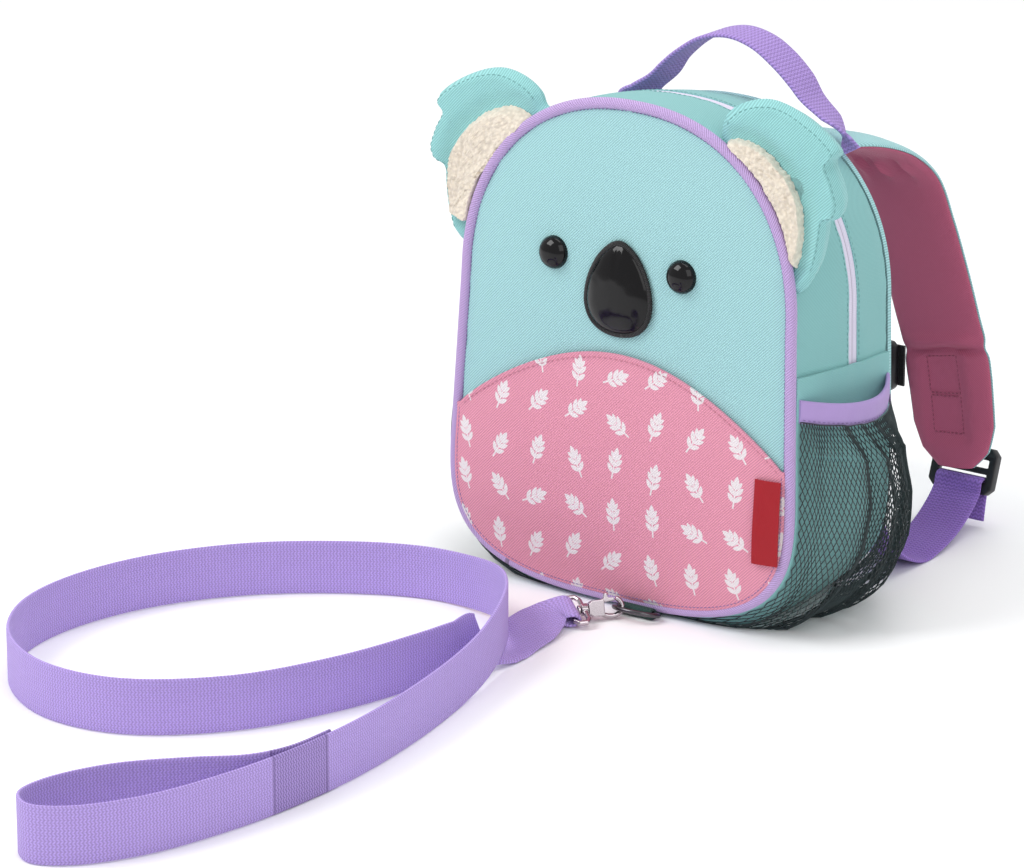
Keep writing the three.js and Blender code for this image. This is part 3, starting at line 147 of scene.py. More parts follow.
def ramp(x, low, high):
    """0 up to low, 1 from high on, smooth between."""
    t = clamp((x - low) / (high - low))
    return t * t * (3 - 2 * t)


def ripple(x, y, z, size):
    """Smooth noise from -1 to 1 whose lumps are about size millimetres wide."""
    return noise.noise(Vector((x, y, z)) / size)


def linear(red, green, blue):
    """A colour as a scene's own linear values, from the 0 to 255 of a colour card."""
    shares = (red / 255, green / 255, blue / 255)
    return tuple(((c + 0.055) / 1.055) ** 2.4 if c > 10 / 255 else c / 12.92 for c in shares)


def smooth_run(points, steps):
    """A centripetal Catmull-Rom run through points, with steps samples in each span."""
    points = [Vector(p) for p in points]
    ends = [2 * points[0] - points[1], *points, 2 * points[-1] - points[-2]]
    run = []
    for i in range(len(points) - 1):
        p0, p1, p2, p3 = ends[i:i + 4]
        d0, d1, d2 = [max((b - a).length ** 0.5, 1e-4) for a, b in ((p0, p1), (p1, p2), (p2, p3))]
        t1 = ((p1 - p0) / d0 - (p2 - p0) / (d0 + d1) + (p2 - p1) / d1) * d1
        t2 = ((p2 - p1) / d1 - (p3 - p1) / (d1 + d2) + (p3 - p2) / d2) * d1
        for k in range(steps):
            t = k / steps
            square = 3 * (p2 - p1) - 2 * t1 - t2
            cube = 2 * (p1 - p2) + t1 + t2
            run.append(p1 + t1 * t + square * t ** 2 + cube * t ** 3)
    return [*run, points[-1]]


def column(values, steps):
    """A table's column sampled as smooth_run samples its points."""
    run = []
    for a, b in zip(values, values[1:]):
        run += [mix(a, b, k / steps) for k in range(steps)]
    return [*run, values[-1]]


def smooth_loop(points, steps):
    """A closed run through points."""
    wrapped = [*points[-2:], *points, *points[:2]]
    run = smooth_run([(x, z, 0) for x, z in wrapped], steps)
    return [(p.x, p.y) for p in run[2 * steps:-1 - steps]]


def resample(points, count):
    """The points again, evenly spaced along their own closed run."""
    closed = [Vector(p) for p in [*points, points[0]]]
    marks = [0]
    for a, b in zip(closed, closed[1:]):
        marks.append(marks[-1] + (b - a).length)
    even = []
    at = 0
    for k in range(count):
        want = marks[-1] * k / count
        while marks[at + 1] < want:
            at += 1
        even.append(closed[at].lerp(closed[at + 1], (want - marks[at]) / (marks[at + 1] - marks[at])))
    return [tuple(p) for p in even]


def outline(spec, s):
    """The bag's edge: 0 at the bottom middle, 1 at the top middle on the +X side, -1 there on the other."""
    folded = s - 2 if s > 1 else s + 2 if s < -1 else s
    side = -1 if folded < 0 else 1
    a = abs(folded)
    if a <= LOW:
        f = a / LOW * math.pi / 2
        return (side * spec["low_half"] * math.sin(f) ** (2 / spec["low_power"]),
                spec["low_z"] - spec["low_drop"] * max(0, math.cos(f)) ** (2 / spec["low_power"]))
    if a <= HIGH:
        t = (a - LOW) / (HIGH - LOW)
        return side * mix(spec["low_half"], spec["top_half"], t), mix(spec["low_z"], spec["top_z"], t)
    f = (a - HIGH) / (1 - HIGH) * math.pi / 2
    return (side * spec["top_half"] * max(0, math.cos(f)) ** (2 / spec["top_power"]),
            spec["top_z"] + spec["top_rise"] * math.sin(f) ** (2 / spec["top_power"]))


def inset_outline(spec, s, inset):
    step = 0.004
    x0, z0 = outline(spec, s - step)
    x1, z1 = outline(spec, s + step)
    x, z = outline(spec, s)
    length = math.hypot(x1 - x0, z1 - z0)
    return x - inset * (z1 - z0) / length, z + inset * (x1 - x0) / length


def share_at_height(spec, z):
    if z < spec["low_z"]:
        cosine = min(1, (spec["low_z"] - z) / spec["low_drop"]) ** (spec["low_power"] / 2)
        return LOW * math.acos(cosine) / (math.pi / 2)
    if z <= spec["top_z"]:
        return mix(LOW, HIGH, (z - spec["low_z"]) / (spec["top_z"] - spec["low_z"]))
    sine = min(1, (z - spec["top_z"]) / spec["top_rise"]) ** (spec["top_power"] / 2)
    return mix(HIGH, 1, math.asin(sine) / (math.pi / 2))


def front_y(z):
    return -BAG_DEPTH / 2 + FRONT_LEAN * z


def gusset_spec(v):
    """The gusset's outline at v, from 0 at the front seam to 1 at the back one."""
    return {
        "top_half": mix(FRONT["top_half"] + GUSSET_PROUD, BACK["top_half"], v),
        "top_z": mix(FRONT["top_z"], BACK["top_z"], v),
        "top_rise": mix(FRONT["top_rise"] + GUSSET_PROUD, BACK["top_rise"], v),
        "top_power": 2.2,
        "low_half": mix(FRONT["low_half"] + GUSSET_PROUD, BACK["low_half"], v),
        "low_z": 60,
        "low_drop": mix(FRONT["low_drop"] + GUSSET_PROUD, BASE_DROP, min(1, v / 0.1)),
        "low_power": 3,
    }


def gusset_point(s, v, inset):
    x, z = inset_outline(gusset_spec(v), s, inset - SIDE_BULGE * math.sin(math.pi * v))
    pressed = max(z, inset, 0)
    return Vector((x, mix(front_y(pressed) + PIPING_RADIUS + GAP, GUSSET_END, v), pressed))


def seam_share(v, offset):
    return share_at_height(gusset_spec(v), mix(SEAM_FRONT, SEAM_BACK, v) + offset)


def arch_share(a, v):
    seam = seam_share(v, 0)
    return mix(seam, 1, 2 * a) if a <= 0.5 else -mix(seam, 1, 2 - 2 * a)


def zip_centre(a):
    climb = 2 * a if a <= 0.5 else 2 - 2 * a
    return ZIP_SHARE - ZIP_FORWARD * math.sin(math.pi / 2 * climb) ** 4


def front_share(x, z):
    """How far a point of the front lies towards its seam, from 0 in the middle to 1 on it."""
    if z > FRONT["top_z"]:
        low, high, power = FRONT["top_half"], FRONT["top_rise"], 2.2
        return min(1, (abs(x) / low) ** power + ((z - FRONT["top_z"]) / high) ** power)
    if z < FRONT["low_z"]:
        return min(1, (abs(x) / FRONT["low_half"]) ** 3 + ((FRONT["low_z"] - z) / FRONT["low_drop"]) ** 3)
    t = (z - FRONT["low_z"]) / (FRONT["top_z"] - FRONT["low_z"])
    return min(1, (abs(x) / mix(FRONT["low_half"], FRONT["top_half"], t)) ** mix(3, 2.2, t))


def front_surface(x, z):
    return front_y(z) - FRONT_DOME * (1 - front_share(x, z) ** 1.5)


def back_surface(x, z):
    across = abs(x) / BACK["low_half"]
    along = abs(z - 110) / 110
    return GUSSET_END + GAP + BACK_WALL + BACK_DOME * max(0, 1 - across ** 2.5 - along ** 2.5)


# Meshes
def new_piece(name, points, faces, cloth=None):
    """An object from points in millimetres. cloth gives each point's place on its cloth."""
    mesh = bpy.data.meshes.new(name)
    mesh.from_pydata([Vector(p) * MM for p in points], [], faces)
    if cloth:
        attribute = mesh.attributes.new(CLOTH_COORDS, "FLOAT_VECTOR", "POINT")
        attribute.data.foreach_set("vector", [c for place in cloth for c in (*place, 0)[:3]])
    mesh.validate()
    piece = bpy.data.objects.new(name, mesh)
    bpy.context.scene.collection.objects.link(piece)
    return piece


def settle(piece, smooth_angle=40):
    """Applies the piece's modifiers, turns its faces out and smooths its shading."""
    graph = bpy.context.evaluated_depsgraph_get()
    mesh = bpy.data.meshes.new_from_object(piece.evaluated_get(graph))
    piece.modifiers.clear()
    piece.data = mesh
    work = bmesh.new()
    work.from_mesh(mesh)
    bmesh.ops.recalc_face_normals(work, faces=work.faces)
    work.to_mesh(mesh)
    work.free()
    mesh.shade_smooth()
    mesh.set_sharp_from_angle(angle=math.radians(smooth_angle))
    return piece


def bridge(first, other, count):
    """Quads between two rings of points."""
    steps = [(k, (k + 1) % count) for k in range(count)]
    return [(first + k, first + after, other + after, other + k) for k, after in steps]


def grid_faces(rows, columns, closed=False):
    """Quads over a grid of points; a closed grid joins its last column to its first."""
    faces = []
    for i in range(rows - 1):
        for j in range(columns if closed else columns - 1):
            k = (j + 1) % columns
            faces.append((i * columns + j, i * columns + k, (i + 1) * columns + k, (i + 1) * columns + j))
    return faces


def shell(name, rows, columns, surface, thickness):
    """A cloth of real thickness. surface gives a point and its place on the cloth for two shares."""
    spots = [surface(i / rows, j / columns) for i in range(rows + 1) for j in range(columns + 1)]
    points, cloth = zip(*spots)
    piece = new_piece(name, points, grid_faces(rows + 1, columns + 1), cloth)
    return thicken(piece, thickness)


def thicken(piece, thickness):
    solid = piece.modifiers.new("cloth", "SOLIDIFY")
    solid.thickness = thickness * MM
    solid.offset = -1
    return settle(piece)


def disc(name, edge, centre, shares, place, thickness):
    """A cloth cut to an outline. place gives a point and its place on the cloth for x, z and a share."""
    spots = []
    for share in shares:
        spots += [place(mix(centre[0], x, share), mix(centre[1], z, share), share) for x, z in edge]
    spots.append(place(*centre, 0))
    points, cloth = zip(*spots)
    n = len(edge)
    faces = grid_faces(len(shares), n, closed=True)
    last = (len(shares) - 1) * n
    faces += [(last + k, last + (k + 1) % n, len(points) - 1) for k in range(n)]
    piece = new_piece(name, points, faces, cloth)
    return thicken(piece, thickness) if thickness else piece


def frames_along(path, across):
    """For each point of a path, its tangent, the way its width points, and its face's direction."""
    frames = []
    for i, point in enumerate(path):
        tangent = (path[min(i + 1, len(path) - 1)] - path[max(i - 1, 0)]).normalized()
        wide = (across[i] - tangent * across[i].dot(tangent)).normalized()
        frames.append((point, tangent, wide, wide.cross(tangent)))
    return frames


def sweep(name, path, across, sections, marks=None):
    """A body swept along a path. Each section is a closed ring of points across and out of the face."""
    marks = marks or [0] * len(path)
    points, cloth = [], []
    run = 0
    frames = frames_along(path, across)
    for i, (point, _, wide, over) in enumerate(frames):
        run += (point - path[i - 1]).length if i else 0
        for w, t in sections[i]:
            points.append(point + wide * w + over * t)
            cloth.append((run, w, marks[i]))
    n = len(sections[0])
    faces = grid_faces(len(path), n, closed=True)
    last = (len(path) - 1) * n
    faces += [tuple(reversed(range(n))), tuple(range(last, last + n))]
    return new_piece(name, points, faces, cloth)


def band_section(width, thickness, across=12):
    """A webbing's section, with rounded edges."""
    half = thickness / 2
    flat = [mix(-1, 1, k / across) * (width / 2 - half) for k in range(across + 1)]
    turn = [(math.cos(a), math.sin(a)) for a in (math.pi * k / 4 - math.pi / 2 for k in (1, 2, 3))]
    right = [(width / 2 - half + half * c, half * s) for c, s in turn]
    return [*((w, -half) for w in flat), *right, *((-w, half) for w in flat), *((-w, -t) for w, t in right)]


def ribbon(name, path, across, widths, thickness, marks=None):
    """A woven ribbon swept along a path."""
    piece = sweep(name, path, across, [band_section(w, thickness) for w in widths], marks)
    return settle(piece)


def tube(name, path, radius, sides, closed=False):
    """A round bar along a path, with flat ends where it isn't closed."""
    ahead = path[1:] + (path[:1] if closed else path[-1:])
    behind = (path[-1:] if closed else path[:1]) + path[:-1]
    points, cloth = [], []
    run = 0
    over = Vector((0, 0, 1))
    for i, point in enumerate(path):
        tangent = (ahead[i] - behind[i]).normalized()
        over = (over - tangent * over.dot(tangent)).normalized()
        side = tangent.cross(over)
        run += (point - path[i - 1]).length if i else 0
        for k in range(sides):
            angle = 2 * math.pi * k / sides
            points.append(point - (side * math.cos(angle) + over * math.sin(angle)) * radius)
            cloth.append((run, angle * radius, 0))
    faces = grid_faces(len(path), sides, closed=True)
    last = (len(path) - 1) * sides
    if closed:
        faces += bridge(last, 0, sides)
    else:
        faces += [tuple(reversed(range(sides))), tuple(range(last, last + sides))]
    return settle(new_piece(name, points, faces, cloth), 60)


def stitches(name, runs, pitch, length, radius):
    """Threads laid end to end. Each run is a list of a point and the direction out of the cloth there."""
    points, faces = [], []
    shares = [(0, 0.15), (0.25, 0.8), (0.5, 1), (0.75, 0.8), (1, 0.15)]
    for run in runs:
        marks = [0]
        for (a, _), (b, _) in zip(run, run[1:]):
            marks.append(marks[-1] + (b - a).length)
        at = 0
        count = int(marks[-1] / pitch)
        for k in range(count):
            start = (k + 0.5) * pitch - length / 2
            rings = []
            for share, height in shares:
                want = clamp(start + share * length, 0, marks[-1] - 1e-3)
                while marks[at + 1] < want:
                    at += 1
                while marks[at] > want:
                    at -= 1
                t = (want - marks[at]) / max(1e-6, marks[at + 1] - marks[at])
                (a, out_a), (b, out_b) = run[at], run[at + 1]
                along = (b - a).normalized()
                out = out_a.lerp(out_b, t).normalized()
                rings.append((a.lerp(b, t) + out * radius * 0.35, along.cross(out), out, height))
            first = len(points)
            for centre, side, out, height in rings:
                for q in range(6):
                    angle = math.pi * q / 3
                    points.append(centre + (side * math.cos(angle) + out * math.sin(angle)) * radius * height)
            for r in range(len(rings) - 1):
                for q in range(6):
                    a, b = first + r * 6 + q, first + r * 6 + (q + 1) % 6
                    faces.append((a, b, b + 6, a + 6))
            faces += [tuple(first + q for q in reversed(range(6))), tuple(first + 24 + q for q in range(6))]
    return settle(new_piece(name, points, faces, [(p.x, p.z, p.y) for p in points]), 80)


def solid_copy(name, node):
    piece = bpy.data.objects.new(name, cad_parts[node].data.copy())
    bpy.context.scene.collection.objects.link(piece)
    piece.data.materials.clear()
    return piece


def softened(name, node, voxel, rounding):
    """A cast or moulded piece: the frame's own solid with its edges rounded."""
    piece = solid_copy(name, node)
    remesh = piece.modifiers.new("even", "REMESH")
    remesh.mode = "VOXEL"
    remesh.voxel_size = voxel * MM
    relax = piece.modifiers.new("round", "SMOOTH")
    relax.factor = 0.5
    relax.iterations = rounding
    return settle(piece, 60)


def bevelled(name, node, width):
    """A moulded piece: the frame's own solid with a small bevel on its edges."""
    piece = solid_copy(name, node)
    work = bmesh.new()
    work.from_mesh(piece.data)
    bmesh.ops.remove_doubles(work, verts=work.verts, dist=1e-6)
    bmesh.ops.dissolve_limit(work, angle_limit=math.radians(2), verts=work.verts, edges=work.edges)
    work.to_mesh(piece.data)
    work.free()
    bevel = piece.modifiers.new("edge", "BEVEL")
    bevel.width = width * MM
    bevel.segments = 3
    bevel.limit_method = "ANGLE"
    bevel.angle_limit = math.radians(25)
    return settle(piece, 35)


def seat(piece, finish, slot, *nodes, body="bag"):
    """Gives a piece its finish, its body and the nodes it stands for; its slot is not used."""
    piece.data.materials.clear()
    piece.data.materials.append(finish)
    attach(piece, body)
    if nodes:
        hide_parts(*nodes)
    return piece


# Shader maths
class Field:
    """A shader's number. Sums on it add Math nodes to its finish."""

    def __init__(self, finish, socket):
        self.finish = finish
        self.socket = socket

    def math(self, operation, *others):
        inputs = {0: self, **{i + 1: other for i, other in enumerate(others)}}
        node = self.finish.node("ShaderNodeMath", {"operation": operation}, inputs)
        return Field(self.finish, node.outputs[0])

    def __add__(self, other):
        return self.math("ADD", other)

    __radd__ = __add__

    def __sub__(self, other):
        return self.math("SUBTRACT", other)

    def __rsub__(self, other):
        node = self.finish.node("ShaderNodeMath", {"operation": "SUBTRACT"}, {0: other, 1: self})
        return Field(self.finish, node.outputs[0])

    def __mul__(self, other):
        return self.math("MULTIPLY", other)

    __rmul__ = __mul__

    def __truediv__(self, other):
        return self.math("DIVIDE", other)

    def __pow__(self, other):
        return self.math("POWER", other)

    def __abs__(self):
        return self.math("ABSOLUTE")

    def sin(self):
        return self.math("SINE")

    def cos(self):
        return self.math("COSINE")

    def fract(self):
        return self.math("FRACT")

    def most(self, other):
        return self.math("MAXIMUM", other)

    def ribs(self, pitch):
        """Round ribs of a pitch, from 0 to 1."""
        return (self * (2 * math.pi / pitch)).sin() * 0.5 + 0.5

    def above(self, low, high):
        """0 below low, 1 above high, smooth between."""
        node = self.finish.node("ShaderNodeMapRange", {"interpolation_type": "SMOOTHSTEP"},
                                {"Value": self, "From Min": low, "From Max": high})
        return Field(self.finish, node.outputs[0])


class Finish:
    """A node material with one Principled shader. Numbers are set on the shader's own sockets."""

    def __init__(self, name, **constants):
        self.material = bpy.data.materials.new(name)
        self.material.use_nodes = True
        self.tree = self.material.node_tree
        self.tree.nodes.clear()
        self.output = self.node("ShaderNodeOutputMaterial")
        self.shader = self.node("ShaderNodeBsdfPrincipled")
        self.tree.links.new(self.shader.outputs["BSDF"], self.output.inputs["Surface"])
        for socket, value in constants.items():
            self.shader.inputs[socket.replace("_", " ")].default_value = value

    def node(self, kind, settings=None, inputs=None):
        node = self.tree.nodes.new(kind)
        for key, value in (settings or {}).items():
            setattr(node, key, value)
        for key, value in (inputs or {}).items():
            self.feed(node.inputs[key], value)
        return node

    def feed(self, socket, value):
        if isinstance(value, Field):
            value = value.socket
        if isinstance(value, bpy.types.NodeSocket):
            self.tree.links.new(value, socket)
        else:
            socket.default_value = value

    def field(self, socket):
        return Field(self, socket)

    def cloth(self):
        """A point's place on its cloth, in millimetres: along, across and out."""
        place = self.node("ShaderNodeAttribute", {"attribute_name": CLOTH_COORDS}).outputs["Vector"]
        parts = self.node("ShaderNodeSeparateXYZ", inputs={0: place})
        return [self.field(parts.outputs[i]) for i in range(3)]

    def vector(self, x, y, z=0.0):
        return self.node("ShaderNodeCombineXYZ", inputs={0: x, 1: y, 2: z}).outputs[0]

    def cloud(self, size, detail=3.0):
        """Noise from 0 to 1 whose lumps are about size millimetres wide."""
        place = self.node("ShaderNodeTexCoord").outputs["Object"]
        inputs = {"Vector": place, "Scale": 1 / (size * MM), "Detail": detail}
        node = self.node("ShaderNodeTexNoise", inputs=inputs)
        return self.field(node.outputs["Fac"])

    def blend(self, factor, a, b):
        """Colour a where factor is 0 and b where it is 1."""
        node = self.node("ShaderNodeMix", {"data_type": "RGBA"})
        for index, value in ((0, factor), (6, a), (7, b)):
            if not isinstance(value, (Field, bpy.types.NodeSocket, float, int)):
                value = (*value[:3], 1)
            self.feed(node.inputs[index], value)
        return node.outputs[2]

    def color(self, value):
        self.feed(self.shader.inputs["Base Color"], value)

    def rough(self, value):
        self.feed(self.shader.inputs["Roughness"], value)

    def bump(self, height, depth):
        """Relief of a depth in millimetres from a height that runs from 0 to 1."""
        node = self.node("ShaderNodeBump", inputs={"Strength": 1.0, "Distance": depth * MM, "Height": height})
        self.feed(self.shader.inputs["Normal"], node.outputs[0])


def shade(color, factor):
    return tuple(clamp(c * factor) for c in color[:3])


FINISHES = {}


def finish_named(maker):
    """The material that a maker builds, made once."""
    if maker.__name__ not in FINISHES:
        FINISHES[maker.__name__] = maker(bpy.context.scene.harness_colours, bpy.context.scene.harness_weave)
    return FINISHES[maker.__name__]


def twill_height(u, v, pitch):
    """The relief of a twill: ribs that climb to the right, broken by the crossing yarn."""
    slant = pitch * math.sqrt(2)
    ribs = (u - v).ribs(slant) ** 0.7
    yarn = (u + v).ribs(slant / 1.6)
    return ribs * 0.7 + yarn * ribs * 0.3


def canvas(name, color, pitch, contrast=0.34, relief=0.16, rough=0.86):
    """A coated polyester twill, its colour painted darker in the grooves and lighter on the ribs as painted
    shade and highlight.
    """
    finish = Finish(name, Sheen_Weight=0.12, Sheen_Roughness=0.45, Specular_IOR_Level=0.35)
    u, v, _ = finish.cloth()
    ribs = twill_height(u, v, pitch)
    worn = finish.cloud(26) * 0.55 + finish.cloud(4.5) * 0.45
    # Painted highlight and shade: light and dark are lit and shaded copies of the colour, blended by rib
    # height so that the grooves are painted darker and the crowns lighter.
    light = shade(color, 1 + contrast * 0.4)
    dark = shade(color, 1 - contrast)
    yarn = finish.blend(ribs, dark, light)
    finish.color(finish.blend((worn - 0.35) * 0.5, yarn, shade(color, 0.9)))
    finish.rough(rough - ribs * 0.1)
    finish.bump(ribs + worn * 0.5, relief)
    return finish


def mint_cloth(colours, weave):
    return canvas("mint twill", colours.mint, weave.twill / MM).material


def gusset_cloth(colours, weave):
    return canvas("gusset twill", colours.gusset, weave.twill / MM, 0.24, 0.12).material


def ear_cloth(colours, weave):
    return canvas("ear twill", colours.ear, weave.twill / MM, 0.32, 0.16).material


def rose_cloth(colours, weave):
    return canvas("rose lining", colours.rose, weave.twill / MM * 0.8, 0.22, 0.1, 0.8).material


def leaf_mask(finish, u, v, spacing, size):
    """A scattered leaf sprig in every cell of a jittered lattice, from 0 to 1."""
    place = finish.vector(u / spacing, v / spacing)
    cells = finish.node("ShaderNodeTexVoronoi", {"voronoi_dimensions": "2D"},
                        {"Vector": place, "Scale": 1.0, "Randomness": 0.22})
    centre = finish.node("ShaderNodeSeparateXYZ", inputs={0: cells.outputs["Position"]})
    tint = finish.node("ShaderNodeSeparateColor", inputs={0: cells.outputs["Color"]})
    angle = finish.field(tint.outputs[0]) * 2.4 - 1.2
    cosine, sine = angle.cos(), angle.sin()
    dx = u / spacing - finish.field(centre.outputs[0])
    dy = v / spacing - finish.field(centre.outputs[1])
    x = (dx * cosine + dy * sine) * (spacing / size)
    y = (dy * cosine - dx * sine) * (spacing / size)
    mask = 1 - ((abs(x) - 0.03).most(abs(y + 0.05) - 0.5)).above(-0.01, 0.02)
    for height, lean, reach in ((-0.3, 0.75, 0.24), (-0.02, 0.7, 0.26), (0.24, 0.62, 0.22)):
        side_x = abs(x)
        along = side_x * math.sin(lean) + (y - height) * math.cos(lean)
        away = side_x * math.cos(lean) - (y - height) * math.sin(lean)
        middle = (along - reach) / reach
        leaf = abs(away) / (reach * 0.42) + middle * middle
        mask = mask.most(1 - leaf.above(0.9, 1.05))
    tip = abs(x) / 0.12 + ((y - 0.55) / 0.26) ** 2
    return mask.most(1 - tip.above(0.88, 1.06))


def pink_print(colours, weave):
    finish = canvas("pink twill", colours.pink, weave.twill / MM, 0.3, 0.14)
    u, v, _ = finish.cloth()
    print_mask = leaf_mask(finish, u, v, weave.sprig_spacing / MM, weave.sprig_size / MM)
    cloth_color = finish.shader.inputs["Base Color"].links[0].from_socket
    flecks = finish.cloud(0.8).above(0.28, 0.42)
    finish.color(finish.blend(print_mask * (0.72 + flecks * 0.26), cloth_color, colours.print_white))
    return finish.material


def webbing(name, color, fleck, pick=1.5, wale=2.2, contrast=0.36, relief=0.3):
    """Woven polypropylene webbing: picks that zigzag across its width, painted darker in their hollows and
    lighter on their tops as painted shade and highlight.
    """
    finish = Finish(name, Sheen_Weight=0.1, Sheen_Roughness=0.4, Specular_IOR_Level=0.35)
    u, v, _ = finish.cloth()
    zigzag = abs((v / wale).fract() - 0.5) * 1.1
    picks = abs((u / pick + zigzag).fract() - 0.5) * 2
    wales = abs((v / (wale / 2)).fract() - 0.5) * 2
    height = (picks ** 0.8) * (1 - wales ** 4 * 0.6)
    fibre = finish.cloud(0.45)
    worn = finish.cloud(11)
    # Painted highlight and shade: light and dark are lit and shaded copies of the colour, blended by the
    # weave's height so that the hollows between picks are painted darker and their tops lighter.
    light = shade(color, 1.12)
    dark = shade(color, 1 - contrast)
    yarn = finish.blend(height, dark, light)
    yarn = finish.blend((fibre - 0.55).most(0) * 1.5 * height, yarn, fleck)
    finish.color(finish.blend((worn - 0.4) * 0.35, yarn, shade(color, 0.86)))
    finish.rough(0.78 - height * 0.12)
    finish.bump(height + fibre * 0.25, relief)
    return finish


def tether_webbing(colours, weave):
    """The tether's webbing. Its cloth's third number is 1 to 2 over a sewn patch and 0 elsewhere."""
    finish = webbing("tether webbing", colours.tether, colours.web_fleck, weave.pick / MM)
    u, v, share = finish.cloth()
    inside = share.above(0.7, 0.95)
    rows = abs((u / 1.5 + abs((v / 2.2).fract() - 0.5)).fract() - 0.5) * 2
    border = abs(share - 1.5).above(0.43, 0.46)
    thread = ((1 - rows.above(0.25, 0.6)) * 0.7).most(border) * inside
    web_color = finish.shader.inputs["Base Color"].links[0].from_socket
    sewn = finish.blend(inside * 0.28, web_color, colours.tether_thread)
    finish.color(finish.blend(thread * 0.6, sewn, shade(colours.tether_thread, 0.8)))
    return finish.material


def handle_webbing(colours, weave):
    return webbing("handle webbing", colours.handle, colours.web_fleck, 1.9, 2.8, 0.42, 0.36).material


def lower_webbing_finish(colours, weave):
    fleck = shade(colours.web_fleck, 0.7)
    return webbing("lower webbing", colours.lower_web, fleck, 1.8, 2.7, 0.4, 0.32).material


def black_webbing(colours, weave):
    return webbing("black webbing", colours.black, shade(colours.black, 3), 1.6, 2.2, 0.4, 0.2).material


def green_webbing(colours, weave):
    fleck = shade(colours.tab_green, 2.2)
    return webbing("tab webbing", colours.tab_green, fleck, 1.3, 1.8, 0.4, 0.2).material


def piping_cloth(colours, weave):
    """A corded piping, covered in a fine diagonal rib that is painted darker in its grooves and lighter on
    its crowns as painted shade and highlight.
    """
    finish = Finish("piping cord", Sheen_Weight=0.15, Sheen_Roughness=0.4, Specular_IOR_Level=0.4)
    u, v, _ = finish.cloth()
    ribs = (u + v * 0.8).ribs(1.25) ** 0.7
    yarn = (u - v).ribs(0.9)
    # Painted shade and highlight: dark and light are shaded and lit copies of the colour, blended by rib
    # height so that the grooves are painted darker and the ribs lighter.
    dark, light = shade(colours.piping, 0.72), shade(colours.piping, 1.14)
    finish.color(finish.blend(ribs * 0.8 + yarn * 0.2, dark, light))
    finish.rough(0.72 - ribs * 0.1)
    finish.bump(ribs + yarn * 0.3, 0.28)
    return finish.material


def grosgrain(colours, weave):
    """The pocket's binding: a folded ribbon with fine cross ribs, painted darker between them and lighter on
    them as painted shade and highlight.
    """
    finish = Finish("grosgrain binding", Sheen_Weight=0.1, Sheen_Roughness=0.4, Specular_IOR_Level=0.4)
    ribs = finish.cloth()[0].ribs(0.7)
    soft = finish.cloud(7)
    # Painted shade and highlight: shaded blends darker and lighter copies of the binding colour by rib
    # height.
    shaded = finish.blend(ribs, shade(colours.binding, 0.88), shade(colours.binding, 1.07))
    finish.color(finish.blend((soft - 0.35) * 0.5, shaded, shade(colours.binding, 0.82)))
    finish.rough(0.7 - ribs * 0.1)
    finish.bump(ribs + soft, 0.08)
    return finish.material


def fleece_pile(colours, weave):
    """Sherpa pile: soft curls with shaded hollows."""
    finish = Finish("sherpa fleece", Sheen_Weight=0.5, Sheen_Roughness=0.6, Specular_IOR_Level=0.15)
    place = finish.node("ShaderNodeTexCoord").outputs["Object"]
    per_metre = 620.0
    curls = finish.node("ShaderNodeTexVoronoi", {"feature": "SMOOTH_F1"},
                        {"Vector": place, "Scale": per_metre})
    curl = finish.field(curls.outputs["Distance"])
    fine = finish.cloud(0.55)
    wide = finish.cloud(6)
    tint = finish.blend(curl.above(0.1, 0.75), shade(colours.fleece, 1.05), shade(colours.fleece, 0.82))
    finish.color(finish.blend((wide - 0.4) * 0.6, tint, shade(colours.fleece, 0.86)))
    finish.rough(0.95 - fine * 0.05)
    finish.bump(1 - curl + fine * 0.6, 0.35)
    return finish.material


def patent(colours, weave):
    """Padded patent vinyl, with a few soft waves that break its reflections."""
    finish = Finish("black patent", Coat_Weight=0.12, Coat_Roughness=0.03, Specular_IOR_Level=0.24)
    waves = finish.cloud(9, detail=1.0)
    specks = finish.cloud(0.7)
    finish.color(finish.blend(specks * 0.4, shade(colours.patent, 0.9), shade(colours.patent, 1.5)))
    finish.rough(0.09 + specks * 0.05)
    finish.bump(waves, 0.5)
    return finish.material


def button_gloss(colours, weave):
    finish = Finish("eye gloss", Coat_Weight=0.15, Coat_Roughness=0.02, Specular_IOR_Level=0.24)
    specks = finish.cloud(0.8)
    finish.color(finish.blend(specks * 0.3, colours.patent, shade(colours.patent, 1.4)))
    finish.rough(0.08 + specks * 0.03)
    finish.bump(specks, 0.01)
    return finish.material


def satin_stitch(colours, weave):
    """Close threads laid across the nose's rim, each painted lighter on its crown and darker at its sides as
    painted highlight and shade.
    """
    finish = Finish("satin stitch", Sheen_Weight=0.2, Sheen_Roughness=0.3, Specular_IOR_Level=0.5)
    along = finish.cloth()[0]
    ribs = abs((along / 0.75).fract() - 0.5) * 2
    # Painted highlight and shade: each thread is painted lighter along its crown and darker towards its
    # sides, where ribs runs from 0 to 1.
    finish.color(finish.blend(ribs, shade(colours.patent, 1.9), shade(colours.patent, 0.6)))
    finish.rough(0.5 + ribs * 0.2)
    finish.bump(1 - ribs, 0.3)
    return finish.material


def thread_finish(name, color):
    finish = Finish(name, Sheen_Weight=0.1, Sheen_Roughness=0.4, Specular_IOR_Level=0.4)
    twist = finish.cloud(0.5)
    finish.color(finish.blend(twist, shade(color, 0.78), shade(color, 1.15)))
    finish.rough(0.7 - twist * 0.1)
    finish.bump(twist, 0.05)
    return finish.material


def mint_thread(colours, weave):
    return thread_finish("mint thread", shade(colours.gusset, 0.72))


def seam_thread(colours, weave):
    return thread_finish("seam thread", colours.seam_thread)


def pink_thread(colours, weave):
    return thread_finish("pink thread", shade(colours.pink, 0.7))


def rose_thread(colours, weave):
    return thread_finish("rose thread", shade(colours.rose, 0.62))


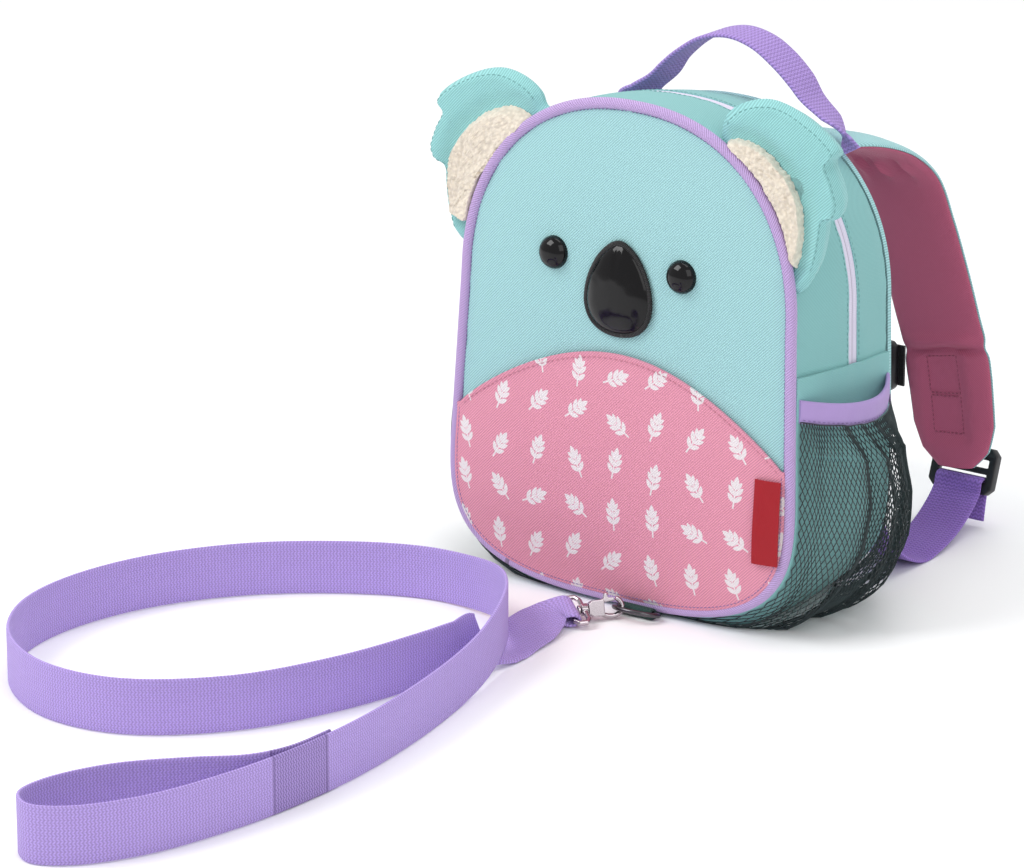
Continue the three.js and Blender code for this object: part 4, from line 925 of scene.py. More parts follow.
def zip_tape_finish(colours, weave):
    """Woven zip tape with fine lengthwise cords, painted darker between them and lighter on them, and with a
    dark line painted down its middle as the shade in the gap between its halves.
    """
    finish = Finish("zip tape", Sheen_Weight=0.1, Sheen_Roughness=0.4, Specular_IOR_Level=0.4)
    u, v, _ = finish.cloth()
    cords = v.ribs(1.1)
    picks = u.ribs(0.7)
    # middle marks a thin line down the tape's centre, where its two halves meet; it is painted dark as the
    # shade in the gap between them.
    middle = 1 - abs(v).above(0.15, 0.5)
    # Painted shade and highlight: the tape is painted darker between its cords and picks and lighter on them.
    tape = finish.blend(cords * 0.6 + picks * 0.4, shade(colours.zip, 0.84), shade(colours.zip, 1.04))
    finish.color(finish.blend(middle * 0.75, tape, shade(colours.zip, 0.5)))
    finish.rough(0.68 - cords * 0.08)
    finish.bump(cords * 0.6 + picks * 0.4, 0.12)
    return finish.material


def painted_zinc(colours, weave):
    """The slider's painted casting."""
    finish = Finish("painted zinc", Specular_IOR_Level=0.5)
    soft = finish.cloud(1.2)
    finish.color(finish.blend(soft, shade(colours.zip, 0.84), shade(colours.zip, 1.02)))
    finish.rough(0.34 + soft * 0.14)
    finish.bump(soft, 0.03)
    return finish.material


def net_yarn(colours, weave):
    """Knitted polyester net."""
    finish = Finish("net yarn", Sheen_Weight=0.15, Sheen_Roughness=0.4, Specular_IOR_Level=0.4)
    twist = finish.cloud(0.6)
    patches = finish.cloud(9)
    tint = finish.blend(twist, shade(colours.net, 0.6), shade(colours.net, 1.35))
    finish.color(finish.blend((patches - 0.35) * 0.7, tint, shade(colours.net, 1.25)))
    finish.rough(0.78 - twist * 0.1)
    finish.bump(twist, 0.12)
    return finish.material


def label_weave(colours, weave):
    """A folded satin label, left bare. Its picks are painted darker in their hollows and lighter on their
    tops as painted shade and highlight.
    """
    finish = Finish("label satin", Sheen_Weight=0.1, Sheen_Roughness=0.3, Specular_IOR_Level=0.4)
    u, v, _ = finish.cloth()
    picks = (u * 0.4 + v).ribs(0.5)
    soft = finish.cloud(5)
    # Painted shade and highlight: tint is the label's red painted darker in the hollows between picks and
    # lighter on their tops.
    tint = finish.blend(picks, shade(colours.label, 0.84), shade(colours.label, 1.1))
    finish.color(finish.blend((soft - 0.4) * 0.5, tint, shade(colours.label, 0.8)))
    finish.rough(0.6 - picks * 0.1)
    finish.bump(picks, 0.06)
    return finish.material


def moulded(colours, weave):
    """Moulded acetal, faintly textured."""
    finish = Finish("moulded black", Specular_IOR_Level=0.5)
    grain = finish.cloud(0.35)
    scuffs = finish.cloud(3)
    finish.color(finish.blend(scuffs * 0.5, colours.black, shade(colours.black, 1.8)))
    finish.rough(0.32 + grain * 0.12 + scuffs * 0.06)
    finish.bump(grain, 0.02)
    return finish.material


def metal(name, color, rough, wear):
    finish = Finish(name, Metallic=1.0, Specular_IOR_Level=0.5)
    soft = finish.cloud(2.6)
    scratches = finish.cloud(0.3)
    finish.color(finish.blend(soft * wear, color, shade(color, 0.7)))
    finish.rough(rough + scratches * 0.08)
    finish.bump(scratches, 0.002)
    return finish.material


def bright_chrome(colours, weave):
    return metal("bright chrome", colours.chrome, 0.09, 0.35)


def dark_nickel(colours, weave):
    return metal("dark nickel", colours.steel, 0.2, 0.5)


def floor_finish(colours, weave):
    finish = Finish("studio floor", Specular_IOR_Level=0.2)
    soft = finish.cloud(400)
    finish.color(finish.blend(soft * 0.1, colours.floor, shade(colours.floor, 0.985)))
    finish.rough(0.7 + soft * 0.05)
    return finish.material


# The sizes and colours that a user would change
def colour(label, red, green, blue):
    return bpy.props.FloatVectorProperty(name=label, description=f"{label} of the backpack", subtype="COLOR",
                                         size=3, min=0, max=1, default=linear(red, green, blue))


def length(label, text, millimetres):
    return bpy.props.FloatProperty(name=label, description=text, unit="LENGTH", subtype="DISTANCE",
                                   default=millimetres * MM, min=0, precision=5)


class HarnessColours(bpy.types.PropertyGroup):
    """The backpack's colours."""

    mint: colour("Front mint", 163, 210, 213)
    gusset: colour("Gusset mint", 132, 188, 188)
    ear: colour("Ear mint", 148, 206, 206)
    pink: colour("Belly pink", 226, 150, 172)
    print_white: colour("Print white", 226, 220, 222)
    piping: colour("Piping lavender", 194, 166, 218)
    binding: colour("Binding lavender", 176, 150, 208)
    handle: colour("Handle violet", 174, 144, 218)
    tether: colour("Tether lavender", 186, 161, 231)
    web_fleck: colour("Webbing fleck", 214, 200, 236)
    tether_thread: colour("Tether thread", 112, 90, 150)
    fleece: colour("Fleece cream", 226, 215, 198)
    patent: colour("Patent black", 9, 8, 10)
    seam_thread: colour("Seam thread", 124, 104, 160)
    label: colour("Label red", 160, 2, 22)
    zip: colour("Zip white", 218, 212, 232)
    net: colour("Net charcoal", 54, 64, 66)
    rose: colour("Lining rose", 184, 90, 120)
    lower_web: colour("Lower webbing purple", 152, 116, 206)
    black: colour("Plastic black", 22, 20, 24)
    chrome: colour("Chrome", 190, 180, 186)
    steel: colour("Ring nickel", 96, 94, 98)
    tab_green: colour("Tab green", 34, 66, 62)
    floor: colour("Floor", 252, 252, 253)


class HarnessWeave(bpy.types.PropertyGroup):
    """The sizes of the backpack's weaves, prints and threads."""

    twill: length("Twill pitch", "Distance between two diagonal ribs of the twill", 0.98)
    pick: length("Webbing pick", "Distance between two picks of the tether's weave", 1.5)
    sprig_spacing: length("Sprig spacing", "Distance between two printed sprigs", 21)
    sprig_size: length("Sprig size", "Height of a printed sprig", 11)
    sewn: length("Hand loop seam", "Length of the hand loop's seam along the tether", 34)
    net_cell: length("Net cell", "Height of one cell of the pocket net", 2.2)
    net_yarn: length("Net yarn", "Thickness of the pocket net's yarn", 0.62)
    stitch: length("Stitch length", "Length of one stitch and the gap after it", 2.9)
    curl: length("Fleece curl", "Height of the fleece's curls", 1.3)


class HarnessStage(bpy.types.PropertyGroup):
    """The camera and the light."""

    camera_at: bpy.props.FloatVectorProperty(name="Camera", description="Where the camera stands",
                                             subtype="TRANSLATION", unit="LENGTH",
                                             default=(1.1294, -1.6771, 0.7253))
    camera_to: bpy.props.FloatVectorProperty(name="Aim", description="What the camera looks at",
                                             subtype="TRANSLATION", unit="LENGTH",
                                             default=(-0.0702, -0.0260, 0.0622))
    lens: bpy.props.FloatProperty(name="Lens", description="Focal length on a 36 mm wide sensor",
                                  unit="CAMERA", default=165.97)
    key: bpy.props.FloatProperty(name="Key light", description="Strength of the soft box at the left",
                                 unit="POWER", default=27)
    sky: bpy.props.FloatProperty(name="Surround", description="Strength of the pale surround", default=0.62)


class HarnessOperator:
    """What the piece operators share."""

    bl_options = {"REGISTER", "UNDO"}

    def execute(self, context):
        self.build(context.scene.harness_weave)
        return {"FINISHED"}


class HARNESS_OT_stage(HarnessOperator, bpy.types.Operator):
    """Sets the camera, the floor and the light"""

    bl_idname = "harness.stage"
    bl_label = "Stage"

    def build(self, weave):
        scene = bpy.context.scene
        stage = scene.harness_stage
        camera = bpy.data.objects.new("camera", bpy.data.cameras.new("camera"))
        scene.collection.objects.link(camera)
        camera.location = stage.camera_at
        aim = Vector(stage.camera_to) - camera.location
        camera.rotation_euler = aim.to_track_quat("-Z", "Y").to_euler()
        camera.data.sensor_width = 36
        camera.data.sensor_fit = "HORIZONTAL"
        camera.data.lens = stage.lens
        scene.camera = camera
        scene.view_settings.view_transform = "Standard"
        half = 6000
        floor = new_piece("floor", [(-half, -half, 0), (half, -half, 0), (half, half, 0), (-half, half, 0)],
                          [(0, 1, 2, 3)])
        floor.data.materials.append(finish_named(floor_finish))
        world = bpy.data.worlds.new("surround")
        world.use_nodes = True
        background = world.node_tree.nodes["Background"]
        background.inputs["Color"].default_value = (1, 1, 1, 1)
        background.inputs["Strength"].default_value = stage.sky
        scene.world = world
        self.soft_box("key light", (-1.1, -1.2, 1.7), 1.2, stage.key)
        self.soft_box("fill light", (1.5, -0.9, 1.3), 1.4, stage.key * 0.35)
        self.soft_box("top light", (0.1, 0.5, 1.9), 1.3, stage.key * 0.5)

    def soft_box(self, name, at, size, power):
        light = bpy.data.lights.new(name, "AREA")
        light.size = size
        light.energy = power
        box = bpy.data.objects.new(name, light)
        bpy.context.scene.collection.objects.link(box)
        box.location = at
        box.rotation_euler = (Vector((0, 0, 0.1)) - box.location).to_track_quat("-Z", "Y").to_euler()


def heading(turn, roll=0.0):
    """A unit vector at a turn round the vertical, raised by a roll, both in degrees."""
    flat = math.cos(math.radians(roll))
    return Vector((flat * math.cos(math.radians(turn)), flat * math.sin(math.radians(turn)),
                   math.sin(math.radians(roll))))


def tether_rows():
    """The tether's middle line, the way its width points and its widths, from its fold to its hand loop."""
    along = heading(HOOK["yaw"])
    angle = math.acos(HOOK["ring_share"])
    ring = Vector((RING["x"] + RING["half"] * math.cos(angle),
                   RING["y"] - RING["depth"] * math.sin(angle) ** 0.9, HOOK["z"]))
    bar = ring - along * (HOOK["reach"] + HOOK["eye_back"])
    wrap = HOOK["eye_radius"] + GAP + 0.15 + TETHER["thick"] / 2
    yaw = HOOK["yaw"] + 90
    lean = math.sin(math.radians(TETHER["roll"]))
    lift = Vector((-lean * math.cos(math.radians(yaw)), -lean * math.sin(math.radians(yaw)),
                   math.cos(math.radians(TETHER["roll"]))))
    main = []
    for x, y, low, roll, turn, wide in TETHER_ROUTE:
        rise = wide / 2 * math.sin(math.radians(roll)) + TETHER["thick"] / 2 * math.cos(math.radians(roll))
        main.append((Vector((x, y, low + rise)), roll, turn, wide))
    fold = [(main[0][0] + Vector((0.1, 0.5, -2)), main[0][1], main[0][2], TETHER["fold"])]
    for out, up in ((-7, -1.5), (0, -wrap), (wrap, 0), (0, wrap), (-7, 1.5)):
        fold.append((bar + along * out + lift * up, TETHER["roll"], yaw, TETHER["fold"]))
    rows = [*fold, *main]
    steps = 6
    path = smooth_run([row[0] for row in rows], steps)
    rolls, yaws, widths = [column([row[k] for row in rows], steps) for k in (1, 2, 3)]
    across = [heading(turn, roll) for roll, turn in zip(rolls, yaws)]
    return path, across, widths


class HARNESS_OT_tether(HarnessOperator, bpy.types.Operator):
    """Builds the webbing tether, from its fold round the swivel to its hand loop"""

    bl_idname = "harness.tether"
    bl_label = "Tether"

    def build(self, weave):
        path, across, widths = tether_rows()
        marks = self.seam(path, weave.sewn / MM)
        piece = ribbon("tether_webbing", path, across, widths, TETHER["thick"], marks)
        seat(piece, finish_named(tether_webbing), "tether_web", "tether")
        metres = [p * MM for p in path]
        total = sum((b - a).length for a, b in zip(metres, metres[1:]))
        tuple(metres[0])
        [tuple(p) for p in metres]

    def seam(self, path, reach):
        """Marks of the sewn patch: 1 to 2 over the last of the tether and over the ply that it lies on."""
        least_loop = 150
        runs = [0]
        for a, b in zip(path, path[1:]):
            runs.append(runs[-1] + (b - a).length)
        before = [i for i, run in enumerate(runs) if run < runs[-1] - least_loop]
        under = runs[min(before, key=lambda i: (path[i] - path[-1]).length)] + 4
        marks = []
        for run in runs:
            share = max((run - under) / reach if run - under <= reach else -1, (run - runs[-1]) / reach + 1)
            marks.append(1 + share if share >= 0 else 0)
        return marks


class HARNESS_OT_front(HarnessOperator, bpy.types.Operator):
    """Builds the front panel and the piping round it"""

    bl_idname = "harness.front"
    bl_label = "Front panel"

    def build(self, weave):
        count = 220
        edge = [inset_outline(FRONT, -1 + 2 * (i + 0.5) / count, 0.9) for i in range(count)]
        shares = [1, 0.985, 0.965, 0.94, 0.9, 0.85, 0.78, 0.7, 0.6, 0.5, 0.4, 0.3, 0.2, 0.1]

        def place(x, z, share):
            pull = ramp(share, 0.86, 0.97) * 0.35 * ripple(x, 0, z, 7)
            soft = 0.5 * ripple(x, 7, z, 45) * ramp(1 - share, 0, 0.2)
            return (x, front_surface(x, z) + pull + soft, z), (x, z)

        panel = disc("front_cloth", edge, (0, 118), shares, place, CLOTH)
        seat(panel, finish_named(mint_cloth), "shell", "front_panel")
        steps = 260
        path = [Vector((x, front_y(z), z)) for x, z in
                (outline(FRONT, -0.12 + 2 * (i + 0.5) / steps) for i in range(steps))]
        piping = tube("front_piping_cord", path, PIPING_RADIUS, 16, closed=True)
        seat(piping, finish_named(piping_cloth), "piping", "front_piping")
        run = []
        for i in range(steps + 1):
            x, z = inset_outline(FRONT, -1 + 2 * (i + 0.5) / steps, PIPING_RADIUS + 0.15)
            belly = z < belly_arc(x)
            lift = BELLY["lift"] + BELLY["cloth"] if belly else 0
            run.append((Vector((x, front_surface(x, z) - lift, z)), Vector((0, -1, 0))))
        thread = stitches("front_seam_stitches", [run], weave.stitch / MM * 0.7, 1.7, 0.2)
        seat(thread, finish_named(seam_thread), "piping")


def belly_arc(x):
    """The height of the belly panel's upper edge at x."""
    half = inset_outline(FRONT, share_at_height(FRONT, BELLY["side"]), PIPING_RADIUS + GAP)[0]
    t = clamp((half - x) / (2 * half))
    t = clamp(t + BELLY["shift"] * math.sin(math.pi * t) / (2 * half))
    return BELLY["side"] + (BELLY["apex"] - BELLY["side"]) * math.sin(math.pi * t) ** 0.85


class HARNESS_OT_belly(HarnessOperator, bpy.types.Operator):
    """Builds the printed belly panel with its topstitching, and the bare label tab"""

    bl_idname = "harness.belly"
    bl_label = "Belly panel"

    def build(self, weave):
        side = share_at_height(FRONT, BELLY["side"])
        lower = [inset_outline(FRONT, mix(-side, side, i / 130), 1.2) for i in range(131)]
        half = lower[-1][0]
        upper = [(x, belly_arc(x)) for x in (mix(half, -half, (i + 1) / 91) for i in range(90))]
        shares = [1, 0.985, 0.965, 0.94, 0.91, 0.87, 0.82, 0.75, 0.65, 0.55, 0.45, 0.35, 0.25, 0.12]

        def place(x, z, share):
            hem = ramp(belly_arc(x) - z, 3.4, 2.2) * 0.45
            groove = 0.35 * math.exp(-((belly_arc(x) - z - 2.4) / 0.7) ** 2)
            soft = 0.25 * ripple(x, 3, z, 30)
            lift = BELLY["lift"] + BELLY["cloth"] + hem - groove + soft * ramp(1 - share, 0, 0.1)
            return (x, front_surface(x, z) - lift, z), (x, z)

        panel = disc("belly_cloth", [*lower, *upper], (0, 62), shares, place, BELLY["cloth"])
        seat(panel, finish_named(pink_print), "pink", "belly_panel")
        run = []
        for i in range(121):
            x = mix(half - 3, -half + 3, i / 120)
            z = belly_arc(x) - 2.4
            run.append((Vector((x, front_surface(x, z) - BELLY["lift"] - BELLY["cloth"] - 0.15, z)),
                        Vector((0, -1, 0))))
        thread = stitches("belly_topstitch", [run], weave.stitch / MM, 2.1, 0.26)
        seat(thread, finish_named(pink_thread), "pink")
        self.label()

    def label(self):
        lift = BELLY["lift"] + BELLY["cloth"] + GAP + 1

        def surface(a, b):
            x = LABEL["x"] + LABEL["width"] * a
            z = LABEL["z"] + LABEL["height"] * b
            rounded = 0.45 * ramp(a, 0.18, 0)
            curl = 0.5 * ramp(a, 0.5, 0) * math.sin(b * 5)
            return (x, front_surface(x, z) - lift + rounded - curl * 0.4, z), (x, z)

        tab = shell("label_cloth", 16, 40, surface, 0.9)
        seat(tab, finish_named(label_weave), "label", "label_tab")


def arch_cloth(name, start, end, columns):
    """A strip of the upper gusset between two depths, with the puckers that its seams draw."""

    def surface(a, b):
        v = mix(start(a), end(a), b)
        seam = min(b, 1 - b)
        pucker = 0.35 * ramp(seam, 0.12, 0) * ripple(a * 330, v * 20, 4, 5)
        soft = 0.9 * ripple(a * 330, v * 90, 9, 38) * ramp(seam, 0, 0.3)
        point = gusset_point(arch_share(a, v), v, -pucker - soft)
        return point, (a * ARCH_LENGTH, v * BAG_DEPTH)

    return shell(name, ARCH_STEPS, columns, surface, CLOTH)


class HARNESS_OT_gusset(HarnessOperator, bpy.types.Operator):
    """Builds the gussets, the band below them with the base, and the back panel"""

    bl_idname = "harness.gusset"
    bl_label = "Gussets and back"

    def build(self, weave):
        half = ZIP_WIDTH / 2 / BAG_DEPTH
        front = arch_cloth("gusset_front_cloth", lambda a: -0.02, lambda a: zip_centre(a) - half, 18)
        back = arch_cloth("gusset_back_cloth", lambda a: zip_centre(a) + half, lambda a: 1, 18)
        finish = finish_named(gusset_cloth)
        seat(front, finish, "gusset", "gusset_front")
        seat(back, finish, "gusset", "gusset_back")
        band = shell("lower_band_cloth", 190, 30, self.band, CLOTH)
        seat(band, finish, "gusset", "lower_band")
        self.topstitch(weave, half)
        self.back()

    def band(self, a, b):
        v = mix(-0.02, 1, b)
        seam = seam_share(max(v, 0), 0.4)
        s = mix(seam, -seam, a)
        flank = ramp(abs(s), LOW * 0.75, LOW)
        pucker = 0.8 * flank * ramp(abs(s), seam * 0.8, seam) * ripple(v * 90, s * 40, 2, 9)
        soft = 1.1 * flank * ripple(v * 90, s * 300, 11, 30)
        point = gusset_point(s, v, -(pucker + soft) * 0.6)
        point.z = max(point.z, CLOTH + 0.05)
        return point, (s * 360, v * BAG_DEPTH)

    def topstitch(self, weave, half):
        """Stitches beside the zip and above the seam of the lower band."""
        runs = []
        for shift in (-half - 0.017, half + 0.017):
            run = []
            for i in range(ARCH_STEPS + 1):
                a = i / ARCH_STEPS
                v = zip_centre(a) + shift
                s = arch_share(a, v)
                run.append((gusset_point(s, v, 0), self.outward(s, v)))
            runs.append(run)
        for side in (1, -1):
            run = []
            for i in range(41):
                v = i / 40
                s = side * seam_share(v, -2.6)
                run.append((gusset_point(s, v, -0.2), self.outward(s, v)))
            runs.append(run)
        thread = stitches("gusset_topstitch", runs, weave.stitch / MM * 0.9, 1.9, 0.24)
        seat(thread, finish_named(mint_thread), "gusset")

    def outward(self, s, v):
        return (gusset_point(s, v, -1) - gusset_point(s, v, 0)).normalized()

    def back(self):
        count = 180
        spec = {**BACK, "low_drop": BASE_DROP - 6}
        edge = [inset_outline(spec, -1 + 2 * (i + 0.5) / count, 0.4) for i in range(count)]
        shares = [1, 0.98, 0.955, 0.92, 0.87, 0.8, 0.7, 0.58, 0.45, 0.3, 0.15]

        def place(x, z, share):
            soft = 0.5 * ripple(x, 17, z, 34) * ramp(1 - share, 0, 0.2)
            quilt = 0.9 * ramp(1 - share, 0.01, 0.07)
            return (x, back_surface(x, z) - 0.6 + quilt + soft, z), (x, z)

        panel = disc("back_cloth", edge, (0, 110), shares, place, BACK_WALL)
        seat(panel, finish_named(mint_cloth), "shell", "back_panel")


class HARNESS_OT_zip(HarnessOperator, bpy.types.Operator):
    """Builds the zip's tape, behind which the coil lies unbuilt, and its plain slider"""

    bl_idname = "harness.zip"
    bl_label = "Zip"

    def build(self, weave):
        half = (ZIP_WIDTH / 2 + 1.2) / BAG_DEPTH

        def tape(a, b):
            v = zip_centre(a) + mix(-half, half, b)
            inset = 0.75 - 0.5 * math.sin(math.pi * b) ** 0.5 + 0.5 * math.exp(-((b - 0.5) / 0.06) ** 2)
            return gusset_point(arch_share(a, v), v, inset), (a * ARCH_LENGTH, (b - 0.5) * ZIP_WIDTH)

        piece = shell("zip_tape_cloth", ARCH_STEPS, 24, tape, 0.7)
        seat(piece, finish_named(zip_tape_finish), "zip", "zip_tape")
        slider = bevelled("zip_slider_body", "zip_slider", 0.6)
        seat(slider, finish_named(painted_zinc), "zip", "zip_slider")


def face_point(x, z, depth):
    return Vector((x, front_surface(x, z) - GAP - depth, z))


def nose_outline(inset):
    width = NOSE["width"] / 2 - inset
    height = NOSE["height"] - 2 * inset
    right = [(NOSE["centre"] + half * width, NOSE["z"] - height / 2 + up * height) for up, half in NOSE_ROWS]
    left = [(2 * NOSE["centre"] - x, z) for x, z in reversed(right)]
    return resample(smooth_loop([*right, *left], 6), 160)


class HARNESS_OT_face(HarnessOperator, bpy.types.Operator):
    """Builds the button eyes and the padded nose with its stitched rim"""

    bl_idname = "harness.face"
    bl_label = "Face"

    def build(self, weave):
        for name, side in SIDES:
            self.eye(name, side)
        self.nose()

    def eye(self, name, side):
        radius, height = EYE["radius"], EYE["height"]
        centre_x, centre_z = EYE["shift"] + side * EYE["reach"], EYE["z"]
        base = max(front_surface(centre_x + dx * radius, centre_z) for dx in (-1, 0, 1)) + 0.2
        profile = [(1, 0), (1.0, 0.1), (0.985, 0.22), (0.95, 0.36), (0.88, 0.52), (0.78, 0.67), (0.64, 0.81),
                   (0.47, 0.91), (0.28, 0.975), (0.1, 1)]
        sides = 48
        points, cloth = [], []
        for reach, rise in profile:
            for k in range(sides):
                angle = 2 * math.pi * k / sides
                dx, dz = reach * radius * math.cos(angle), reach * radius * math.sin(angle)
                points.append((centre_x + dx, base + FRONT_LEAN * dz - rise * (height + 0.4), centre_z + dz))
                cloth.append((dx, dz))
        last = (len(profile) - 1) * sides
        faces = grid_faces(len(profile), sides, closed=True)
        faces += [tuple(range(sides)), tuple(range(last, last + sides))]
        piece = settle(new_piece(f"eye_button_{name}", points, faces, cloth), 60)
        seat(piece, finish_named(button_gloss), "patent", f"eye_{name}")

    def nose(self):
        edge = nose_outline(NOSE["rim"] * 0.6)
        shares = [1, 0.97, 0.93, 0.87, 0.78, 0.66, 0.52, 0.36, 0.2]
        centre = (NOSE["centre"], NOSE["z"] - 2)

        def place(x, z, share):
            puff = 4.6 * (1 - share ** 2.4) ** 0.6 + 0.9
            high = ramp(z, NOSE["z"] + 6, NOSE["z"] + 17)
            pinch = 0.5 * math.exp(-((x - NOSE["centre"]) / 1.6) ** 2) * high
            return face_point(x, z, puff - pinch), (x, z)

        pad = disc("nose_pad", edge, centre, shares, place, 1.2)
        seat(pad, finish_named(patent), "patent", "nose")
        middle = nose_outline(NOSE["rim"] / 2)
        sides = 8
        points, cloth = [], []
        run = 0
        for i, (x, z) in enumerate(middle):
            after = middle[(i + 1) % len(middle)]
            before = middle[i - 1]
            out = Vector((after[1] - before[1], 0, before[0] - after[0])).normalized()
            run += math.hypot(x - before[0], z - before[1]) if i else 0
            for k in range(sides):
                angle = 2 * math.pi * k / sides
                wave = 1 + 0.06 * math.sin(run / 0.75 * 2 * math.pi)
                depth = 0.9 + 0.95 * math.sin(angle) * wave
                shift = out * (1.45 * math.cos(angle))
                points.append(face_point(x + shift.x, z + shift.z, depth))
                cloth.append((run, angle, 0))
        faces = grid_faces(len(middle), sides, closed=True)
        faces += bridge((len(middle) - 1) * sides, 0, sides)
        rim = settle(new_piece("nose_rim_stitch", points, faces, cloth), 80)
        seat(rim, finish_named(satin_stitch), "thread", "nose_rim")


def ear_anchor(ear):
    x, z = outline(FRONT, EAR["seat"])
    return x + ear["spread"], z + ear["lift"]


def ear_run(low, high, count, proud):
    return [inset_outline(FRONT, mix(low, high, i / (count - 1)), -proud) for i in range(count)]


def ear_outline(ear):
    x, z = ear_anchor(ear)
    outer = [(x + out * EAR["reach"], z + up * EAR["height"]) for out, up in EAR_OUTLINE]
    low = share_at_height(FRONT, z - 0.42 * EAR["height"])
    inner = ear_run(low, EAR["top"], 7, 0.5)
    return [(ear["side"] * px, pz) for px, pz in [*outer, *inner]]


def fleece_outline(ear):
    x, z = ear_anchor(ear)
    low = share_at_height(FRONT, z - 0.29 * EAR["height"])
    high = share_at_height(FRONT, z + 0.3 * EAR["height"])
    inner = ear_run(low, high, 6, 2.7)
    outer = []
    for i, (out, up) in enumerate(FLEECE_OUTLINE):
        t = i / (len(FLEECE_OUTLINE) - 1)
        seam_x, seam_z = inset_outline(FRONT, mix(high, low, t), -EAR["clear"] - GAP)
        outer.append((mix(seam_x, x + out * EAR["reach"], ear["fleece"]),
                      mix(seam_z, z + up * EAR["height"], ear["fleece"])))
    return [(ear["side"] * px, pz) for px, pz in [*outer, *inner]]


def widest_view(loop):
    """The point inside a loop that sees its edges least askew, so that rings drawn towards it don't fold."""
    xs, zs = zip(*loop)
    best = None
    for i in range(1, 30):
        for j in range(1, 40):
            x, z = mix(min(xs), max(xs), i / 30), mix(min(zs), max(zs), j / 40)
            worst = math.inf
            for (ax, az), (bx, bz) in zip(loop, [*loop[1:], loop[0]]):
                reach = math.hypot(ax - x, az - z) * math.hypot(bx - ax, bz - az)
                worst = min(worst, -((ax - x) * (bz - az) - (az - z) * (bx - ax)) / max(reach, 1e-9))
            if best is None or worst > best[0]:
                best = (worst, x, z)
    return best[1:]


def loop_distance(point, loop):
    """How far a point lies from a closed run of points."""
    return min(math.hypot(point[0] - x, point[1] - z) for x, z in loop)


class HARNESS_OT_ears(HarnessOperator, bpy.types.Operator):
    """Builds the padded ears and their fleece faces"""

    bl_idname = "harness.ears"
    bl_label = "Ears"

    def build(self, weave):
        for ear in EAR_SIDES:
            self.ear(ear, weave)
            self.fleece(ear, weave)

    def ear(self, ear, weave):
        loop = resample(smooth_loop(ear_outline(ear), 6), 170)
        anchor_x, anchor_z = ear_anchor(ear)
        centre = (ear["side"] * (anchor_x + 0.34 * EAR["reach"]), anchor_z + 0.14 * EAR["height"])
        patch = resample(smooth_loop(fleece_outline(ear), 5), 60)
        shares = [1, 0.975, 0.94, 0.9, 0.85, 0.79, 0.72, 0.64, 0.55, 0.46, 0.36, 0.25, 0.13]
        points, cloth = [], []
        for face in (1, -1):
            for share in shares:
                for x, z in loop:
                    px, pz = mix(centre[0], x, share), mix(centre[1], z, share)
                    points.append(self.place(ear, px, pz, share, face, patch))
                    cloth.append((px + points[-1][1] * 0.7, pz))
            points.append(self.place(ear, *centre, 0, face, patch))
            cloth.append(centre)
        n = len(loop)
        faces = []
        size = n * len(shares) + 1
        for first in (0, size):
            faces += [tuple(first + k for k in quad) for quad in grid_faces(len(shares), n, closed=True)]
            last = first + (len(shares) - 1) * n
            faces += [(last + k, last + (k + 1) % n, first + size - 1) for k in range(n)]
        faces += bridge(0, size, n)
        piece = settle(new_piece(f"ear_cloth_{ear['name']}", points, faces, cloth), 60)
        seat(piece, finish_named(ear_cloth), "shell", f"ear_{ear['name']}")
        seam = [(ear["side"] * x, z) for x, z in ear_run(0.3, 1, 80, 0)]
        free = [loop_distance(spot, seam) > 8 for spot in loop]
        first = next(k for k in range(n) if free[k] and not free[k - 1])
        run = []
        for k in range(first, first + n):
            if free[k % n]:
                px, pz = mix(centre[0], loop[k % n][0], 0.93), mix(centre[1], loop[k % n][1], 0.93)
                run.append((Vector(self.place(ear, px, pz, 0.93, 1, patch)), Vector((0, -1, 0))))
        thread = stitches(f"ear_stitches_{ear['name']}", [run], weave.stitch / MM, 2.0, 0.2)
        seat(thread, finish_named(mint_thread), "shell")

    def place(self, ear, x, z, share, face, patch):
        """A point of the ear, puffed between its hem and its fleece and pinched towards its seam."""
        plane = front_y(z) + EAR["setback"]
        anchor_x, anchor_z = ear_anchor(ear)
        side_x = x * ear["side"]
        hem = ramp(share, 1.0, 0.9)
        fold = 1.6 * ripple(x * 0.9, 5 * ear["side"], z * 0.9, 17) + 0.5 * ripple(x, 9, z, 7)
        low = ramp(anchor_z - 0.1 * EAR["height"] - z, 0, 16)
        angle = math.atan2(z - anchor_z + 40, side_x - anchor_x + 22)
        pinch = 0.9 * low * math.sin(angle * 11 + ear["side"])
        if face < 0:
            return (x, plane + mix(1.6, 7.2, hem ** 0.7) + fold * hem * 0.5, z)
        near = loop_distance((x, z), patch)
        inside = ramp(near, 9, 1.5)
        puff = 3.6 * hem * (1 - inside * 0.75)
        return (x, plane - 0.2 - puff - (fold + pinch) * hem * (1 - inside * 0.6), z)

    def fleece(self, ear, weave):
        loop = resample(smooth_loop(fleece_outline(ear), 5), 240)
        centre = widest_view(loop)
        shares = [1 - k / 46 for k in range(46)]
        curl = weave.curl / MM

        def place(x, z, share):
            edge = ramp(share, 1, 0.9)
            nubs = noise.voronoi(Vector((x, z, 3 * ear["side"])) / 2.1)[0][0]
            pile = curl * (0.9 - nubs) + 0.3 * ripple(x, 1, z, 1.2) + 0.9 * ripple(x, 2, z, 9)
            depth = 1.0 + 4.2 * edge ** 0.5 + pile * (0.35 + 0.65 * edge)
            frill = 0.7 * ripple(x * 1.2, 4, z * 1.2, 1.6) * ramp(share, 0.93, 1)
            return (x + frill * ear["side"], front_y(z) + EAR["setback"] - depth, z + frill), (x, z)

        piece = disc(f"ear_fleece_pile_{ear['name']}", loop, centre, shares, place, 0)
        seat(piece, finish_named(fleece_pile), "fleece", f"ear_fleece_{ear['name']}")


